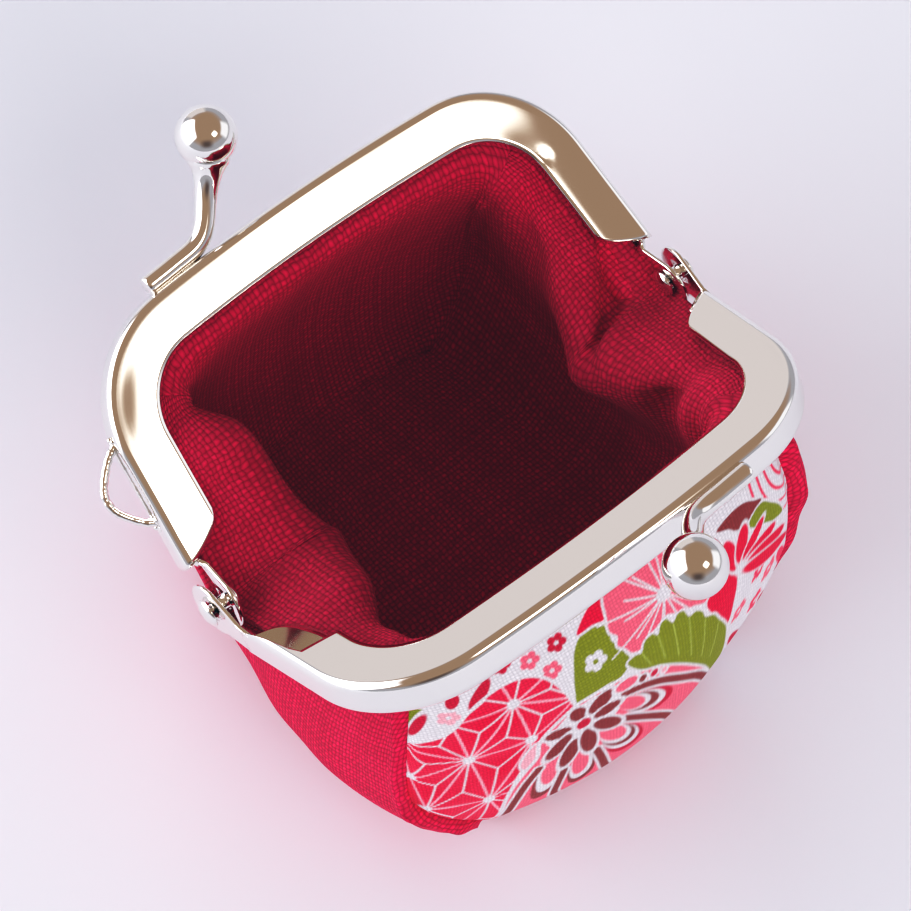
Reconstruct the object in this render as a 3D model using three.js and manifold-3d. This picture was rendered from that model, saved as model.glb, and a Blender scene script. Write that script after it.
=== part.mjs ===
// Small snap-frame coin purse, standing open on its base.
// Millimetres, +Z up. The origin lies on the table under the middle of the hinge axis,
// X runs along the hinge axis and +Y points to the back half of the frame.
import * as THREE from 'three';
import { mergeVertices } from 'three/addons/utils/BufferGeometryUtils.js';
import Module from 'manifold-3d';

const wasm = await Module();
wasm.setup();

// Frame: one half is drawn in its own plane, u along the hinge axis, v away from it,
// w outwards through the thickness of the channel
const HINGE_HEIGHT = 30;
const LEAN = THREE.MathUtils.degToRad(60); // each half leans this far from upright
const HINGE_HALF_WIDTH = 30;
const TOP_HALF_WIDTH = 27.8;
const CORNER_DEPTH = 27.1;
const BAR_BOW = 1.6;
const CORNER_RADIUS = 12.5;
const FLANGE_WIDTH = 5.1;
const CHANNEL = 3.9;
const SHEET = 0.5;
const ROLLED_EDGE = 0.9;
const LEG_END = 4.5;
const ROLL_STEPS = 2;
const CORNER_STEPS = 7;
const BAR_STEPS = 4;

// Stations along one side of the outline, which starts at the hinge
const CORNER_FOOT = 1;
const CORNER_HEAD = 2;
const BAR_MIDDLE = 3;

// Hinge lugs, rivets
const LUG_RADIUS = 2.4;
const LUG_LENGTH = 5.8;
const LUG_THICKNESS = 0.5;
const LUG_STEP = 1.2; // how far the back half's lugs sit inside the front half's
const LUG_NECK_ANGLE = 1.1; // where the round end runs into the plate, from its axis
const LUG_ARC_STEPS = 10;
const PIN_RADIUS = 0.8;
const PIN_HOLE_RADIUS = 1.1;
const RIVET_HEAD = 1.5;
const RIVET_GAP = 0.42;
const RIVET_RIM = 0.2;
const RIVET_DOME = 0.6;
const RIVET_SIDES = 14;
const NOTCH_DEPTH = 0.3; // how far past the inner flange its cut-back reaches

// Kiss clasp: a bent stem soldered on the bar, with a ball on its end
const STEM_RADIUS = 1.05;
const STEM_SIDES = 10;
const BALL_RADIUS = 3.1;
const BALL_SIDES = 16;
const BALL_RINGS = 10;
const STEM_ROUTE = [
  { u: -16.0, v: 29.0, w: 1.4 },
  { u: -12.6, v: 29.25, w: 1.4 },
  { u: -9.7, v: 29.6, w: 1.3 },
  { u: -8.0, v: 30.7, w: 1.1 },
  { u: -6.2, v: 33.1, w: 0.6 },
  { u: -4.4, v: 35.7, w: -0.3 },
  { u: -3.3, v: 37.9, w: -1.0 },
];

// Strap loop: bent wire soldered on the web of the back half's left leg
const LOOP_WIRE_RADIUS = 0.45;
const LOOP_SIDES = 6;
const LOOP_ROUTE = [
  { u: -28.1, v: 18.3 },
  { u: -29.6, v: 17.4 },
  { u: -31.4, v: 15.6 },
  { u: -32.0, v: 14.2 },
  { u: -31.7, v: 12.6 },
  { u: -30.2, v: 10.6 },
  { u: -28.9, v: 9.7 },
];
const WIRE_STEPS = 12;

// The two halves: where their lugs sit, how far the clasp is off the middle, where each
// inner flange stops above the hinge, and which half carries the strap loop
const HALVES = [
  { name: 'frame_back', turn: 0, lugInset: LUG_STEP, claspShift: -0.95,
    flangeLeft: 7, flangeRight: 7, loop: true },
  { name: 'frame_front', turn: Math.PI, lugInset: 0, claspShift: 1.4,
    flangeLeft: 8, flangeRight: 13.5, loop: false },
];

// Cloth: outer shell and lining leave the channel side by side, each one cloth thick
const CLOTH = 1.0;
const SEAM_GAP = 0.25; // each cloth edge stays this far from its seam line
const TOP_INSET = 1.9; // cloth edge inside the channel, from the outer outline
const EXIT_INSET = 5.6; // where the cloth leaves the channel
const SEAM_STATION = 1.38; // where a side seam meets the frame corner
const FREE_EDGE_DEPTH = 8; // below this the side cloth runs free past the hinge
const FREE_EDGE_SHARE = 0.3; // share of a side's width that is free
const FREE_EDGE_PULL = 6; // how straight the free edge leaves the legs
const SIDE_STEPS = 14;
const BASE_STEPS = 12;
const CHANNEL_ROWS = 2;
const UPPER_ROWS = 7;
const LOWER_ROWS = 5;
const LIFT_FROM = 0.75; // the base is flat up to this share of its half depth
const CORNER_POWER = 6; // a panel's foot turns towards a side only near its corner
const MITRE_LIMIT = -0.4; // keeps the mitre of a folded-back seam short
const MERGE_DISTANCE = 1e-4;

// Sections of the two shells, from the frame down to the base. Each row is one section:
// reach and flare are how far the cloth goes on inwards and outwards past the channel,
// belly is its fullest point, up and down how straight it runs above and below that,
// foot is where it meets the base and ease how round it gets there. Of a whole shell, w is
// its place in the channel, freeEdgeIn how far its free edge draws in at the hinge, base
// the height of its bottom, lift that of its corners, and pillow how far a side swells on
// its way from the hinge to each corner.
const OUTER = {
  w: 3.1,
  freeEdgeIn: 0.9,
  base: 0,
  lift: 0.8,
  pillow: { frontLeft: 1.3, frontRight: 2.0, backLeft: 0, backRight: 0.3 },
  panelFront: { reach: 1.2, flare: 3.0, belly: [0, 30.2, 12], up: 20, down: 6,
    foot: [0, 25.4], ease: [0, 3, 1.2] },
  panelBack: { reach: 1.2, flare: 3.0, belly: [0, 28.0, 12], up: 20, down: 6,
    foot: [0, 24.4], ease: [0, 3, 1.2] },
  frontLeft: { reach: 1.2, flare: 3.0, belly: [26.2, 24.6, 20], up: 17, down: 7,
    foot: [15.6, 25.0], ease: [2.4, 0.5, 0.4] },
  frontRight: { reach: 1.2, flare: 3.0, belly: [25.4, 24.6, 21], up: 18, down: 7.5,
    foot: [16, 24.4], ease: [2.6, 0.5, 0.4] },
  backLeft: { reach: 1.2, flare: 3.0, belly: [22.4, 24.2, 18], up: 18, down: 7.5,
    foot: [15, 24], ease: [2.8, 0.5, 0.4] },
  backRight: { reach: 1.2, flare: 3.0, belly: [23.4, 24.2, 18], up: 18, down: 7.5,
    foot: [15, 24], ease: [2.8, 0.5, 0.4] },
  hingeLeft: { reach: 1.5, flare: 3.0, belly: [26.0, 0, 10], up: 10, down: 5,
    foot: [19.2, 0], ease: [3.4, 0, 0] },
  hingeRight: { reach: 1.5, flare: 3.0, belly: [25.0, 0, 10], up: 10, down: 5,
    foot: [18.5, 0], ease: [3.6, 0, 0] },
};
const LINING = {
  w: 1.8,
  freeEdgeIn: 0.9,
  base: 1.3,
  lift: 1.6,
  pillow: { frontLeft: 0.4, frontRight: 0.6, backLeft: 0, backRight: 0.2 },
  panelFront: { reach: 3.0, flare: -0.8, belly: [0, 26.2, 13], up: 16, down: 6,
    foot: [0, 22.4], ease: [0, 2, 1] },
  panelBack: { reach: 3.0, flare: -0.8, belly: [0, 25.4, 13], up: 16, down: 6,
    foot: [0, 22.2], ease: [0, 2, 1] },
  frontLeft: { reach: 6.5, flare: -0.8, belly: [23.2, 22.4, 17], up: 12, down: 6,
    foot: [14.6, 21.8], ease: [2.2, 0.5, 0.4] },
  frontRight: { reach: 6.5, flare: -0.8, belly: [22.6, 22.4, 17], up: 12, down: 6,
    foot: [14.6, 21.8], ease: [2.2, 0.5, 0.4] },
  backLeft: { reach: 7.5, flare: -0.8, belly: [20.0, 22.0, 17], up: 12, down: 6,
    foot: [13.6, 21.6], ease: [2.2, 0.5, 0.4] },
  backRight: { reach: 6.0, flare: -0.8, belly: [20.8, 22.0, 17], up: 12, down: 6,
    foot: [13.6, 21.6], ease: [2.2, 0.5, 0.4] },
  hingeLeft: { reach: 14, flare: -1.6, belly: [21.8, 0, 10], up: 9, down: 4,
    foot: [16.6, 0], ease: [2.6, 0, 0] },
  hingeRight: { reach: 13, flare: -1.6, belly: [22.2, 0, 10], up: 9, down: 4,
    foot: [16.6, 0], ease: [2.6, 0, 0] },
};

// Folds of the lining's sides: place across the side (-1 front seam, 1 back seam), share of
// the way down, spread of each, and height into the purse (negative is a valley)
const SIDE_FOLDS = [
  { side: 1, across: 0.02, acrossSpread: 0.12, down: 0.38, downSpread: 0.12, height: -0.8 },
  { side: 1, across: -0.2, acrossSpread: 0.1, down: 0.4, downSpread: 0.12, height: 1.2 },
  { side: 1, across: -0.5, acrossSpread: 0.12, down: 0.42, downSpread: 0.14, height: -0.9 },
  { side: 1, across: 0.4, acrossSpread: 0.14, down: 0.36, downSpread: 0.12, height: 0.8 },
  { side: -1, across: -0.25, acrossSpread: 0.12, down: 0.36, downSpread: 0.14, height: 0.9 },
  { side: -1, across: 0.15, acrossSpread: 0.14, down: 0.34, downSpread: 0.14, height: -0.8 },
];

// Colours
const METAL = new THREE.MeshStandardMaterial({ color: 0xd9d5cf, roughness: 0.12, metalness: 1 });
const PRINT = new THREE.MeshStandardMaterial({ color: 0xe9a3b4, roughness: 0.85, metalness: 0 });
const CANVAS = new THREE.MeshStandardMaterial({ color: 0xc8143f, roughness: 0.9, metalness: 0 });

// Outline of a frame half: two leaning legs, round corners and a slightly bowed bar
const legDirection = new THREE.Vector2(TOP_HALF_WIDTH - HINGE_HALF_WIDTH, CORNER_DEPTH).normalize();
const legInward = new THREE.Vector2(-legDirection.y, legDirection.x);
const barRadius = (TOP_HALF_WIDTH ** 2 + BAR_BOW ** 2) / (2 * BAR_BOW);
const barCentre = new THREE.Vector2(0, CORNER_DEPTH + BAR_BOW - barRadius);
const hingePoint = new THREE.Vector2(HINGE_HALF_WIDTH, 0);
const cornerStart = hingePoint.clone().addScaledVector(legInward, CORNER_RADIUS);
const toStart = cornerStart.clone().sub(barCentre);
const along = toStart.dot(legDirection);
const legLength = -along + Math.sqrt(along ** 2 - toStart.lengthSq() + (barRadius - CORNER_RADIUS) ** 2);
const cornerCentre = cornerStart.clone().addScaledVector(legDirection, legLength);
const cornerFrom = Math.atan2(-legInward.y, -legInward.x);
const cornerTo = cornerCentre.clone().sub(barCentre).angle();

// A point of the right half of the outline and the direction into the frame there.
function rim(station) {
  if (station <= CORNER_FOOT) {
    const point = hingePoint.clone().addScaledVector(legDirection, legLength * station);
    return { point, inward: legInward.clone() };
  }
  const onCorner = station <= CORNER_HEAD;
  const angle = onCorner
    ? THREE.MathUtils.lerp(cornerFrom, cornerTo, station - CORNER_FOOT)
    : THREE.MathUtils.lerp(cornerTo, Math.PI / 2, station - CORNER_HEAD);
  const outward = new THREE.Vector2(Math.cos(angle), Math.sin(angle));
  const centre = onCorner ? cornerCentre : barCentre;
  const radius = onCorner ? CORNER_RADIUS : barRadius;
  return { point: centre.clone().addScaledVector(outward, radius), inward: outward.negate() };
}

// Closed shape of the whole outline, moved in by inset, with its legs run on to depth "from"
function outlineShape(inset, from) {
  const stations = [from / (legLength * legDirection.y), CORNER_FOOT];
  for (let i = 1; i <= CORNER_STEPS; i += 1) stations.push(CORNER_FOOT + i / CORNER_STEPS);
  for (let i = 1; i <= BAR_STEPS; i += 1) stations.push(CORNER_HEAD + i / BAR_STEPS);
  const right = stations.map((station) => {
    const { point, inward } = rim(station);
    return point.addScaledVector(inward, inset);
  });
  const left = right.slice(0, -1).reverse().map((p) => new THREE.Vector2(-p.x, p.y));
  return new THREE.Shape([...right, ...left]);
}

// Solids for joining and cutting
function solid(geometry) {
  const bare = geometry.clone();
  bare.deleteAttribute('normal');
  bare.deleteAttribute('uv');
  const merged = mergeVertices(bare, MERGE_DISTANCE);
  return new wasm.Manifold(new wasm.Mesh({
    numProp: 3,
    vertProperties: new Float32Array(merged.attributes.position.array),
    triVerts: new Uint32Array(merged.index.array),
  }));
}

function geometryOf(manifold) {
  const mesh = manifold.getMesh();
  const geometry = new THREE.BufferGeometry();
  geometry.setAttribute('position', new THREE.BufferAttribute(mesh.vertProperties, 3));
  geometry.setIndex(new THREE.BufferAttribute(mesh.triVerts, 1));
  geometry.computeVertexNormals();
  return geometry;
}

// A flat shape of the frame's plane, from depth w0 to w1 of the channel (w points to -z here)
function slab(shape, w0, w1) {
  const geometry = new THREE.ExtrudeGeometry(shape, { depth: w1 - w0, bevelEnabled: false });
  return solid(geometry.translate(0, 0, -w1));
}

function rectangle(u0, u1, v0, v1) {
  const corners = [[u0, v0], [u1, v0], [u1, v1], [u0, v1]];
  return new THREE.Shape(corners.map(([u, v]) => new THREE.Vector2(u, v)));
}

function wire(route, radius, sides) {
  const path = new THREE.CatmullRomCurve3(route, false, 'centripetal');
  const corners = [];
  for (let i = 0; i < sides; i += 1) {
    const angle = (2 * Math.PI * i) / sides;
    corners.push(new THREE.Vector2(radius * Math.cos(angle), radius * Math.sin(angle)));
  }
  const section = new THREE.Shape(corners);
  const options = { steps: WIRE_STEPS, extrudePath: path, bevelEnabled: false };
  return solid(new THREE.ExtrudeGeometry(section, options));
}

// Channel of folded sheet: rolled outer edges, open towards the purse
function channel(flangeLeft, flangeRight) {
  const below = -8;
  const outer = new THREE.ExtrudeGeometry(outlineShape(0, below), {
    depth: CHANNEL - 2 * ROLLED_EDGE,
    bevelThickness: ROLLED_EDGE,
    bevelSize: ROLLED_EDGE,
    bevelOffset: -ROLLED_EDGE,
    bevelSegments: ROLL_STEPS,
  });
  outer.translate(0, 0, ROLLED_EDGE - CHANNEL);
  const margin = 2;
  const wide = 2 * HINGE_HALF_WIDTH;
  return solid(outer)
    .subtract(slab(outlineShape(FLANGE_WIDTH, 2 * below), -margin, CHANNEL + margin))
    .subtract(slab(outlineShape(SHEET, 2 * below), SHEET, CHANNEL - SHEET))
    .subtract(slab(rectangle(-wide, wide, 3 * below, LEG_END), -margin, CHANNEL + margin))
    .subtract(slab(rectangle(-wide, 0, below, flangeLeft), -margin, SHEET + NOTCH_DEPTH))
    .subtract(slab(rectangle(0, wide, below, flangeRight), -margin, SHEET + NOTCH_DEPTH));
}

// Hinge lug on one side: a plate square to the hinge axis with a round end and a pin hole,
// stepped in from the leg where it is set back
function lug(side, inset) {
  const profile = new THREE.Shape();
  profile.moveTo(LUG_LENGTH, CHANNEL - SHEET);
  profile.lineTo(LUG_RADIUS * Math.cos(LUG_NECK_ANGLE), LUG_RADIUS * Math.sin(LUG_NECK_ANGLE));
  profile.absarc(0, 0, LUG_RADIUS, LUG_NECK_ANGLE, 2 * Math.PI - LUG_NECK_ANGLE, false);
  profile.lineTo(LEG_END, SHEET);
  profile.lineTo(LUG_LENGTH, SHEET + NOTCH_DEPTH);
  const hole = new THREE.Path();
  hole.absarc(0, 0, PIN_HOLE_RADIUS, 0, 2 * Math.PI, true);
  profile.holes.push(hole);
  const plate = new THREE.ExtrudeGeometry(profile, {
    depth: LUG_THICKNESS,
    bevelEnabled: false,
    curveSegments: LUG_ARC_STEPS,
  });
  const lean = legDirection.x / legDirection.y;
  // the profile's x is v, its y is w, and its depth runs inwards along u
  const place = new THREE.Matrix4().set(
    side * lean, 0, -side, side * (HINGE_HALF_WIDTH - inset),
    1, 0, 0, 0,
    0, -1, 0, 0,
    0, 0, 0, 1,
  );
  const made = solid(mirrored(plate.applyMatrix4(place), side));
  if (inset === 0) return made;
  const legEdge = HINGE_HALF_WIDTH + LUG_LENGTH * lean;
  const outerEdge = legEdge - SHEET / 2;
  const innerEdge = legEdge - inset - LUG_THICKNESS;
  const [u0, u1] = side > 0 ? [innerEdge, outerEdge] : [-outerEdge, -innerEdge];
  return made.add(slab(rectangle(u0, u1, LEG_END, LUG_LENGTH), SHEET + NOTCH_DEPTH, CHANNEL - SHEET));
}

// Turns the faces round where a placement mirrors them
function mirrored(geometry, side) {
  if (side > 0) return geometry;
  const flipped = geometry.index ? geometry.toNonIndexed() : geometry;
  const position = flipped.attributes.position;
  for (let i = 0; i < position.count; i += 3) {
    const a = new THREE.Vector3().fromBufferAttribute(position, i + 1);
    const b = new THREE.Vector3().fromBufferAttribute(position, i + 2);
    position.setXYZ(i + 1, b.x, b.y, b.z);
    position.setXYZ(i + 2, a.x, a.y, a.z);
  }
  return flipped;
}

function frameHalf({ name, turn, lugInset, claspShift, flangeLeft, flangeRight, loop }) {
  const stemRoute = STEM_ROUTE.map(({ u, v, w }) => new THREE.Vector3(u + claspShift, v, -w));
  const ball = new THREE.SphereGeometry(BALL_RADIUS, BALL_SIDES, BALL_RINGS).rotateX(Math.PI / 2);
  ball.translate(...stemRoute.at(-1).toArray());
  let metal = channel(flangeLeft, flangeRight)
    .add(lug(-1, lugInset))
    .add(lug(1, lugInset))
    .add(wire(stemRoute, STEM_RADIUS, STEM_SIDES))
    .add(solid(ball));
  if (loop) {
    const loopRoute = LOOP_ROUTE.map(({ u, v }) => new THREE.Vector3(u, v, -CHANNEL / 2));
    metal = metal.add(wire(loopRoute, LOOP_WIRE_RADIUS, LOOP_SIDES));
  }
  const mesh = new THREE.Mesh(geometryOf(metal), METAL);
  mesh.name = name;
  mesh.rotation.x = Math.PI / 2 - LEAN;
  const pivot = new THREE.Group();
  pivot.position.z = HINGE_HEIGHT;
  pivot.rotation.z = turn;
  pivot.add(mesh);
  return pivot;
}

// Profile of a rivet's head, from the pin out to its rim and over the dome to the axis
function rivetHead(face, towards) {
  const shoulder = Math.SQRT1_2;
  const shoulderHeight = THREE.MathUtils.lerp(RIVET_RIM, RIVET_DOME, shoulder);
  return [
    new THREE.Vector2(PIN_RADIUS, face),
    new THREE.Vector2(RIVET_HEAD, face),
    new THREE.Vector2(RIVET_HEAD, face + towards * RIVET_RIM),
    new THREE.Vector2(RIVET_HEAD * shoulder, face + towards * shoulderHeight),
    new THREE.Vector2(0, face + towards * RIVET_DOME),
  ];
}

// Rivet along the hinge axis, with a head on each side of the lugs
function rivet(name, side) {
  const outerFace = HINGE_HALF_WIDTH + RIVET_GAP;
  const innerFace = HINGE_HALF_WIDTH - LUG_STEP - LUG_THICKNESS - RIVET_GAP;
  const profile = [...rivetHead(innerFace, -1).reverse(), ...rivetHead(outerFace, 1)];
  const mesh = new THREE.Mesh(new THREE.LatheGeometry(profile, RIVET_SIDES), METAL);
  mesh.name = name;
  mesh.rotation.z = -side * Math.PI / 2;
  mesh.position.z = HINGE_HEIGHT;
  return mesh;
}

// Places in a leaning half, as points and directions of the purse
function onHalf(u, v, w, back) {
  const y = v * Math.sin(LEAN) + w * Math.cos(LEAN);
  return new THREE.Vector3(u, back ? y : -y, HINGE_HEIGHT + v * Math.cos(LEAN) - w * Math.sin(LEAN));
}

function inPlane(direction, back) {
  const y = direction.y * Math.sin(LEAN);
  return new THREE.Vector3(direction.x, back ? y : -y, direction.y * Math.cos(LEAN));
}

function outOfPlane(back) {
  return new THREE.Vector3(0, back ? Math.cos(LEAN) : -Math.cos(LEAN), -Math.sin(LEAN));
}

function bezier(p0, p1, p2, p3, t) {
  return new THREE.CubicBezierCurve3(p0, p1, p2, p3).getPoint(t);
}

// Top edge of the cloth at a station of the outline, with the directions it leaves in
function topOnFrame(station, w, back) {
  const { point, inward } = rim(station);
  point.addScaledVector(inward, TOP_INSET);
  return {
    top: onHalf(point.x, point.y, w, back),
    inwards: inPlane(inward, back),
    outwards: outOfPlane(back),
  };
}

// Top edge of a side: along the legs, then free past the hinge between them
function topOfSide(across, layer) {
  const freeStation = FREE_EDGE_DEPTH / (legLength * legDirection.y);
  const share = Math.abs(across);
  if (share >= FREE_EDGE_SHARE) {
    const part = (share - FREE_EDGE_SHARE) / (1 - FREE_EDGE_SHARE);
    return topOnFrame(THREE.MathUtils.lerp(freeStation, SEAM_STATION, part), layer.w, across > 0);
  }
  const front = topOnFrame(freeStation, layer.w, false);
  const back = topOnFrame(freeStation, layer.w, true);
  const part = (across + FREE_EDGE_SHARE) / (2 * FREE_EDGE_SHARE);
  const fromFront = front.top.clone().addScaledVector(inPlane(legDirection, false), -FREE_EDGE_PULL);
  const fromBack = back.top.clone().addScaledVector(inPlane(legDirection, true), -FREE_EDGE_PULL);
  const top = bezier(front.top, fromFront, fromBack, back.top, part);
  top.x = front.top.x - layer.freeEdgeIn * Math.sin(Math.PI * part) ** 2;
  return {
    top,
    inwards: front.inwards.clone().lerp(back.inwards, part).normalize(),
    outwards: front.outwards.clone().lerp(back.outwards, part).normalize(),
  };
}

function blendRow(a, b, t) {
  const mix = THREE.MathUtils.lerp;
  return {
    reach: mix(a.reach, b.reach, t),
    flare: mix(a.flare, b.flare, t),
    belly: a.belly.map((value, i) => mix(value, b.belly[i], t)),
    up: mix(a.up, b.up, t),
    down: mix(a.down, b.down, t),
    foot: a.foot.map((value, i) => mix(value, b.foot[i], t)),
    ease: a.ease.map((value, i) => mix(value, b.ease[i], t)),
  };
}

// One section of cloth, from its edge in the channel over the belly to the base
function section({ top, inwards, outwards }, row, lift, ySign) {
  const exit = top.clone().addScaledVector(inwards, EXIT_INSET - TOP_INSET);
  const belly = new THREE.Vector3(row.belly[0], ySign * row.belly[1], row.belly[2]);
  const foot = new THREE.Vector3(row.foot[0], ySign * row.foot[1], lift);
  const ease = new THREE.Vector3(row.ease[0], ySign * row.ease[1], row.ease[2]);
  const leave = exit.clone().addScaledVector(inwards, row.reach).addScaledVector(outwards, row.flare);
  const above = belly.clone().setZ(belly.z + row.up);
  const under = belly.clone().setZ(belly.z - row.down);
  const points = [];
  for (let j = 0; j < CHANNEL_ROWS; j += 1) points.push(top.clone().lerp(exit, j / CHANNEL_ROWS));
  for (let j = 0; j < UPPER_ROWS; j += 1) points.push(bezier(exit, leave, above, belly, j / UPPER_ROWS));
  for (let j = 0; j <= LOWER_ROWS; j += 1) {
    points.push(bezier(belly, under, foot.clone().add(ease), foot, j / LOWER_ROWS));
  }
  return points;
}

function mirrorX(points, side) {
  return side > 0 ? points : points.map((p) => p.setX(-p.x));
}

function cornerName(back, side) {
  return `${back ? 'back' : 'front'}${side > 0 ? 'Right' : 'Left'}`;
}

function sideSection(across, side, layer) {
  const share = Math.abs(across);
  const back = across > 0;
  const hinge = side > 0 ? layer.hingeRight : layer.hingeLeft;
  const corner = cornerName(back, side);
  const seam = layer[corner];
  const row = blendRow(hinge, seam, back ? share : share ** 2);
  const edge = (Math.max(0, share - LIFT_FROM) / (1 - LIFT_FROM)) ** 2;
  row.belly[0] += layer.pillow[corner] * 4 * share * (1 - share);
  row.belly[1] = seam.belly[1] * share;
  row.foot[1] = seam.foot[1] * share;
  row.ease[1] = seam.ease[1] * edge;
  row.ease[2] = seam.ease[2] * edge;
  const lift = THREE.MathUtils.lerp(layer.base, layer.lift, edge);
  return mirrorX(section(topOfSide(across, layer), row, lift, back ? 1 : -1), side);
}

function panelSection(across, back, layer) {
  const share = Math.abs(across);
  const side = across < 0 ? -1 : 1;
  const seam = layer[cornerName(back, side)];
  const row = blendRow(back ? layer.panelBack : layer.panelFront, seam, share ** 2);
  row.belly[0] = seam.belly[0] * share;
  row.foot[0] = seam.foot[0] * share;
  row.ease[0] = seam.ease[0] * share ** CORNER_POWER;
  const station = THREE.MathUtils.lerp(BAR_MIDDLE, SEAM_STATION, share);
  return mirrorX(section(topOnFrame(station, layer.w, back), row, layer.lift, back ? 1 : -1), side);
}

function spaced(steps, make) {
  return Array.from({ length: steps + 1 }, (_, i) => make((2 * i) / steps - 1));
}

// Base between the feet of the two sides and of the two panels
function baseRow(i, left, right, front, back) {
  const g = i / SIDE_STEPS;
  const foot = (sections, n) => sections[n].at(-1).clone();
  const row = [];
  for (let j = 1; j < BASE_STEPS; j += 1) {
    const f = j / BASE_STEPS;
    const across = foot(left, i).lerp(foot(right, i), f);
    const deep = foot(front, j).lerp(foot(back, j), g);
    const frontEdge = foot(left, 0).lerp(foot(right, 0), f);
    const backEdge = foot(left, SIDE_STEPS).lerp(foot(right, SIDE_STEPS), f);
    row.push(across.add(deep).sub(frontEdge.lerp(backEdge, g)));
  }
  return row;
}

// Grids of one shell: front and back panel, and the strip that runs down one side,
// under the base and up the other
function shell(layer) {
  const left = spaced(SIDE_STEPS, (across) => sideSection(across, -1, layer));
  const right = spaced(SIDE_STEPS, (across) => sideSection(across, 1, layer));
  const front = spaced(BASE_STEPS, (across) => panelSection(across, false, layer));
  const back = spaced(BASE_STEPS, (across) => panelSection(across, true, layer));
  const strip = left.map((points, i) => [
    ...points, ...baseRow(i, left, right, front, back), ...right[i].slice().reverse(),
  ]);
  return { front, back, strip };
}

// Directions into the purse at every point of a grid
function normals(grid, sign) {
  const last = grid.length - 1;
  const end = grid[0].length - 1;
  return grid.map((points, i) => points.map((_, j) => {
    const du = grid[Math.min(i + 1, last)][j].clone().sub(grid[Math.max(i - 1, 0)][j]);
    const dv = grid[i][Math.min(j + 1, end)].clone().sub(grid[i][Math.max(j - 1, 0)]);
    return du.cross(dv).normalize().multiplyScalar(sign);
  }));
}

// The edge of a panel that is sewn to the strip: down one side, along the base, up the other
function sewnEdge(panel) {
  const end = panel[0].length - 1;
  const down = panel[0].map((_, j) => [0, j]);
  const under = panel.slice(1, -1).map((_, i) => [i + 1, end]);
  const up = panel[0].map((_, j) => [panel.length - 1, end - j]);
  return [...down, ...under, ...up];
}

// Both cloths lean the same way at a seam, so that their thickness is mitred there
function mitre(panelNormals, stripRow, panel) {
  sewnEdge(panel).forEach(([i, j], n) => {
    const a = panelNormals[i][j];
    const b = stripRow[n];
    const shared = a.clone().add(b).divideScalar(1 + Math.max(a.dot(b), MITRE_LIMIT));
    panelNormals[i][j] = shared;
    stripRow[n] = shared.clone();
  });
}

function nudge(point, towards) {
  return point.clone().addScaledVector(towards.clone().sub(point).normalize(), SEAM_GAP);
}

function pullBackColumns(grid) {
  const last = grid.length - 1;
  return grid.map((points, i) => {
    if (i === 0) return points.map((p, j) => nudge(p, grid[1][j]));
    if (i === last) return points.map((p, j) => nudge(p, grid[last - 1][j]));
    return points;
  });
}

function pullBackFoot(grid) {
  return grid.map((points) => {
    const end = points.length - 1;
    return [...points.slice(0, end), nudge(points[end], points[end - 1])];
  });
}

function foldHeight(fold, across, down) {
  const a = (across - fold.across) / fold.acrossSpread;
  const d = (down - fold.down) / fold.downSpread;
  return fold.height * Math.exp(-(a ** 2) - d ** 2);
}

// Presses the side folds into the strip of the lining
function foldStrip(strip, inwards) {
  const rows = CHANNEL_ROWS + UPPER_ROWS + LOWER_ROWS;
  return strip.map((points, i) => points.map((point, j) => {
    const side = j <= rows ? -1 : 1;
    const down = (side < 0 ? j : points.length - 1 - j) / rows;
    const across = (2 * i) / SIDE_STEPS - 1;
    if (down >= 1 || i === 0 || i === SIDE_STEPS) return point;
    const height = SIDE_FOLDS.filter((fold) => fold.side === side)
      .reduce((sum, fold) => sum + foldHeight(fold, across, down), 0);
    return point.clone().addScaledVector(inwards[i][j], height);
  }));
}

// Closed wall of cloth from a grid of its outer face and the directions inwards
function wall(grid, inwards) {
  const across = grid.length;
  const down = grid[0].length;
  const outer = grid.flat();
  const inner = grid.flatMap((points, i) => (
    points.map((p, j) => p.clone().addScaledVector(inwards[i][j], CLOTH))
  ));
  const positions = [...outer, ...inner].flatMap((p) => p.toArray());
  const shift = outer.length;
  const at = (i, j) => i * down + j;
  const index = [];
  const quad = (a, b, c, d) => index.push(a, b, c, a, c, d);
  for (let i = 0; i + 1 < across; i += 1) {
    for (let j = 0; j + 1 < down; j += 1) {
      const corners = [at(i, j), at(i + 1, j), at(i + 1, j + 1), at(i, j + 1)];
      quad(...corners);
      quad(...corners.map((n) => n + shift).reverse());
    }
  }
  const edge = (a, b) => quad(b, a, a + shift, b + shift);
  for (let i = 0; i + 1 < across; i += 1) {
    edge(at(i, 0), at(i + 1, 0));
    edge(at(i + 1, down - 1), at(i, down - 1));
  }
  for (let j = 0; j + 1 < down; j += 1) {
    edge(at(0, j + 1), at(0, j));
    edge(at(across - 1, j), at(across - 1, j + 1));
  }
  const geometry = new THREE.BufferGeometry();
  geometry.setAttribute('position', new THREE.Float32BufferAttribute(positions, 3));
  geometry.setIndex(index);
  geometry.computeVertexNormals();
  return geometry;
}

// The faces of a wall are turned round where its grid runs the other way
function outward(geometry, flip) {
  if (!flip) return geometry;
  const index = geometry.index.array;
  for (let n = 0; n < index.length; n += 3) {
    [index[n + 1], index[n + 2]] = [index[n + 2], index[n + 1]];
  }
  geometry.computeVertexNormals();
  return geometry;
}

function clothPiece(name, grid, inwards, flip, material) {
  const mesh = new THREE.Mesh(outward(wall(grid, inwards), flip), material);
  mesh.name = name;
  return mesh;
}

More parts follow.
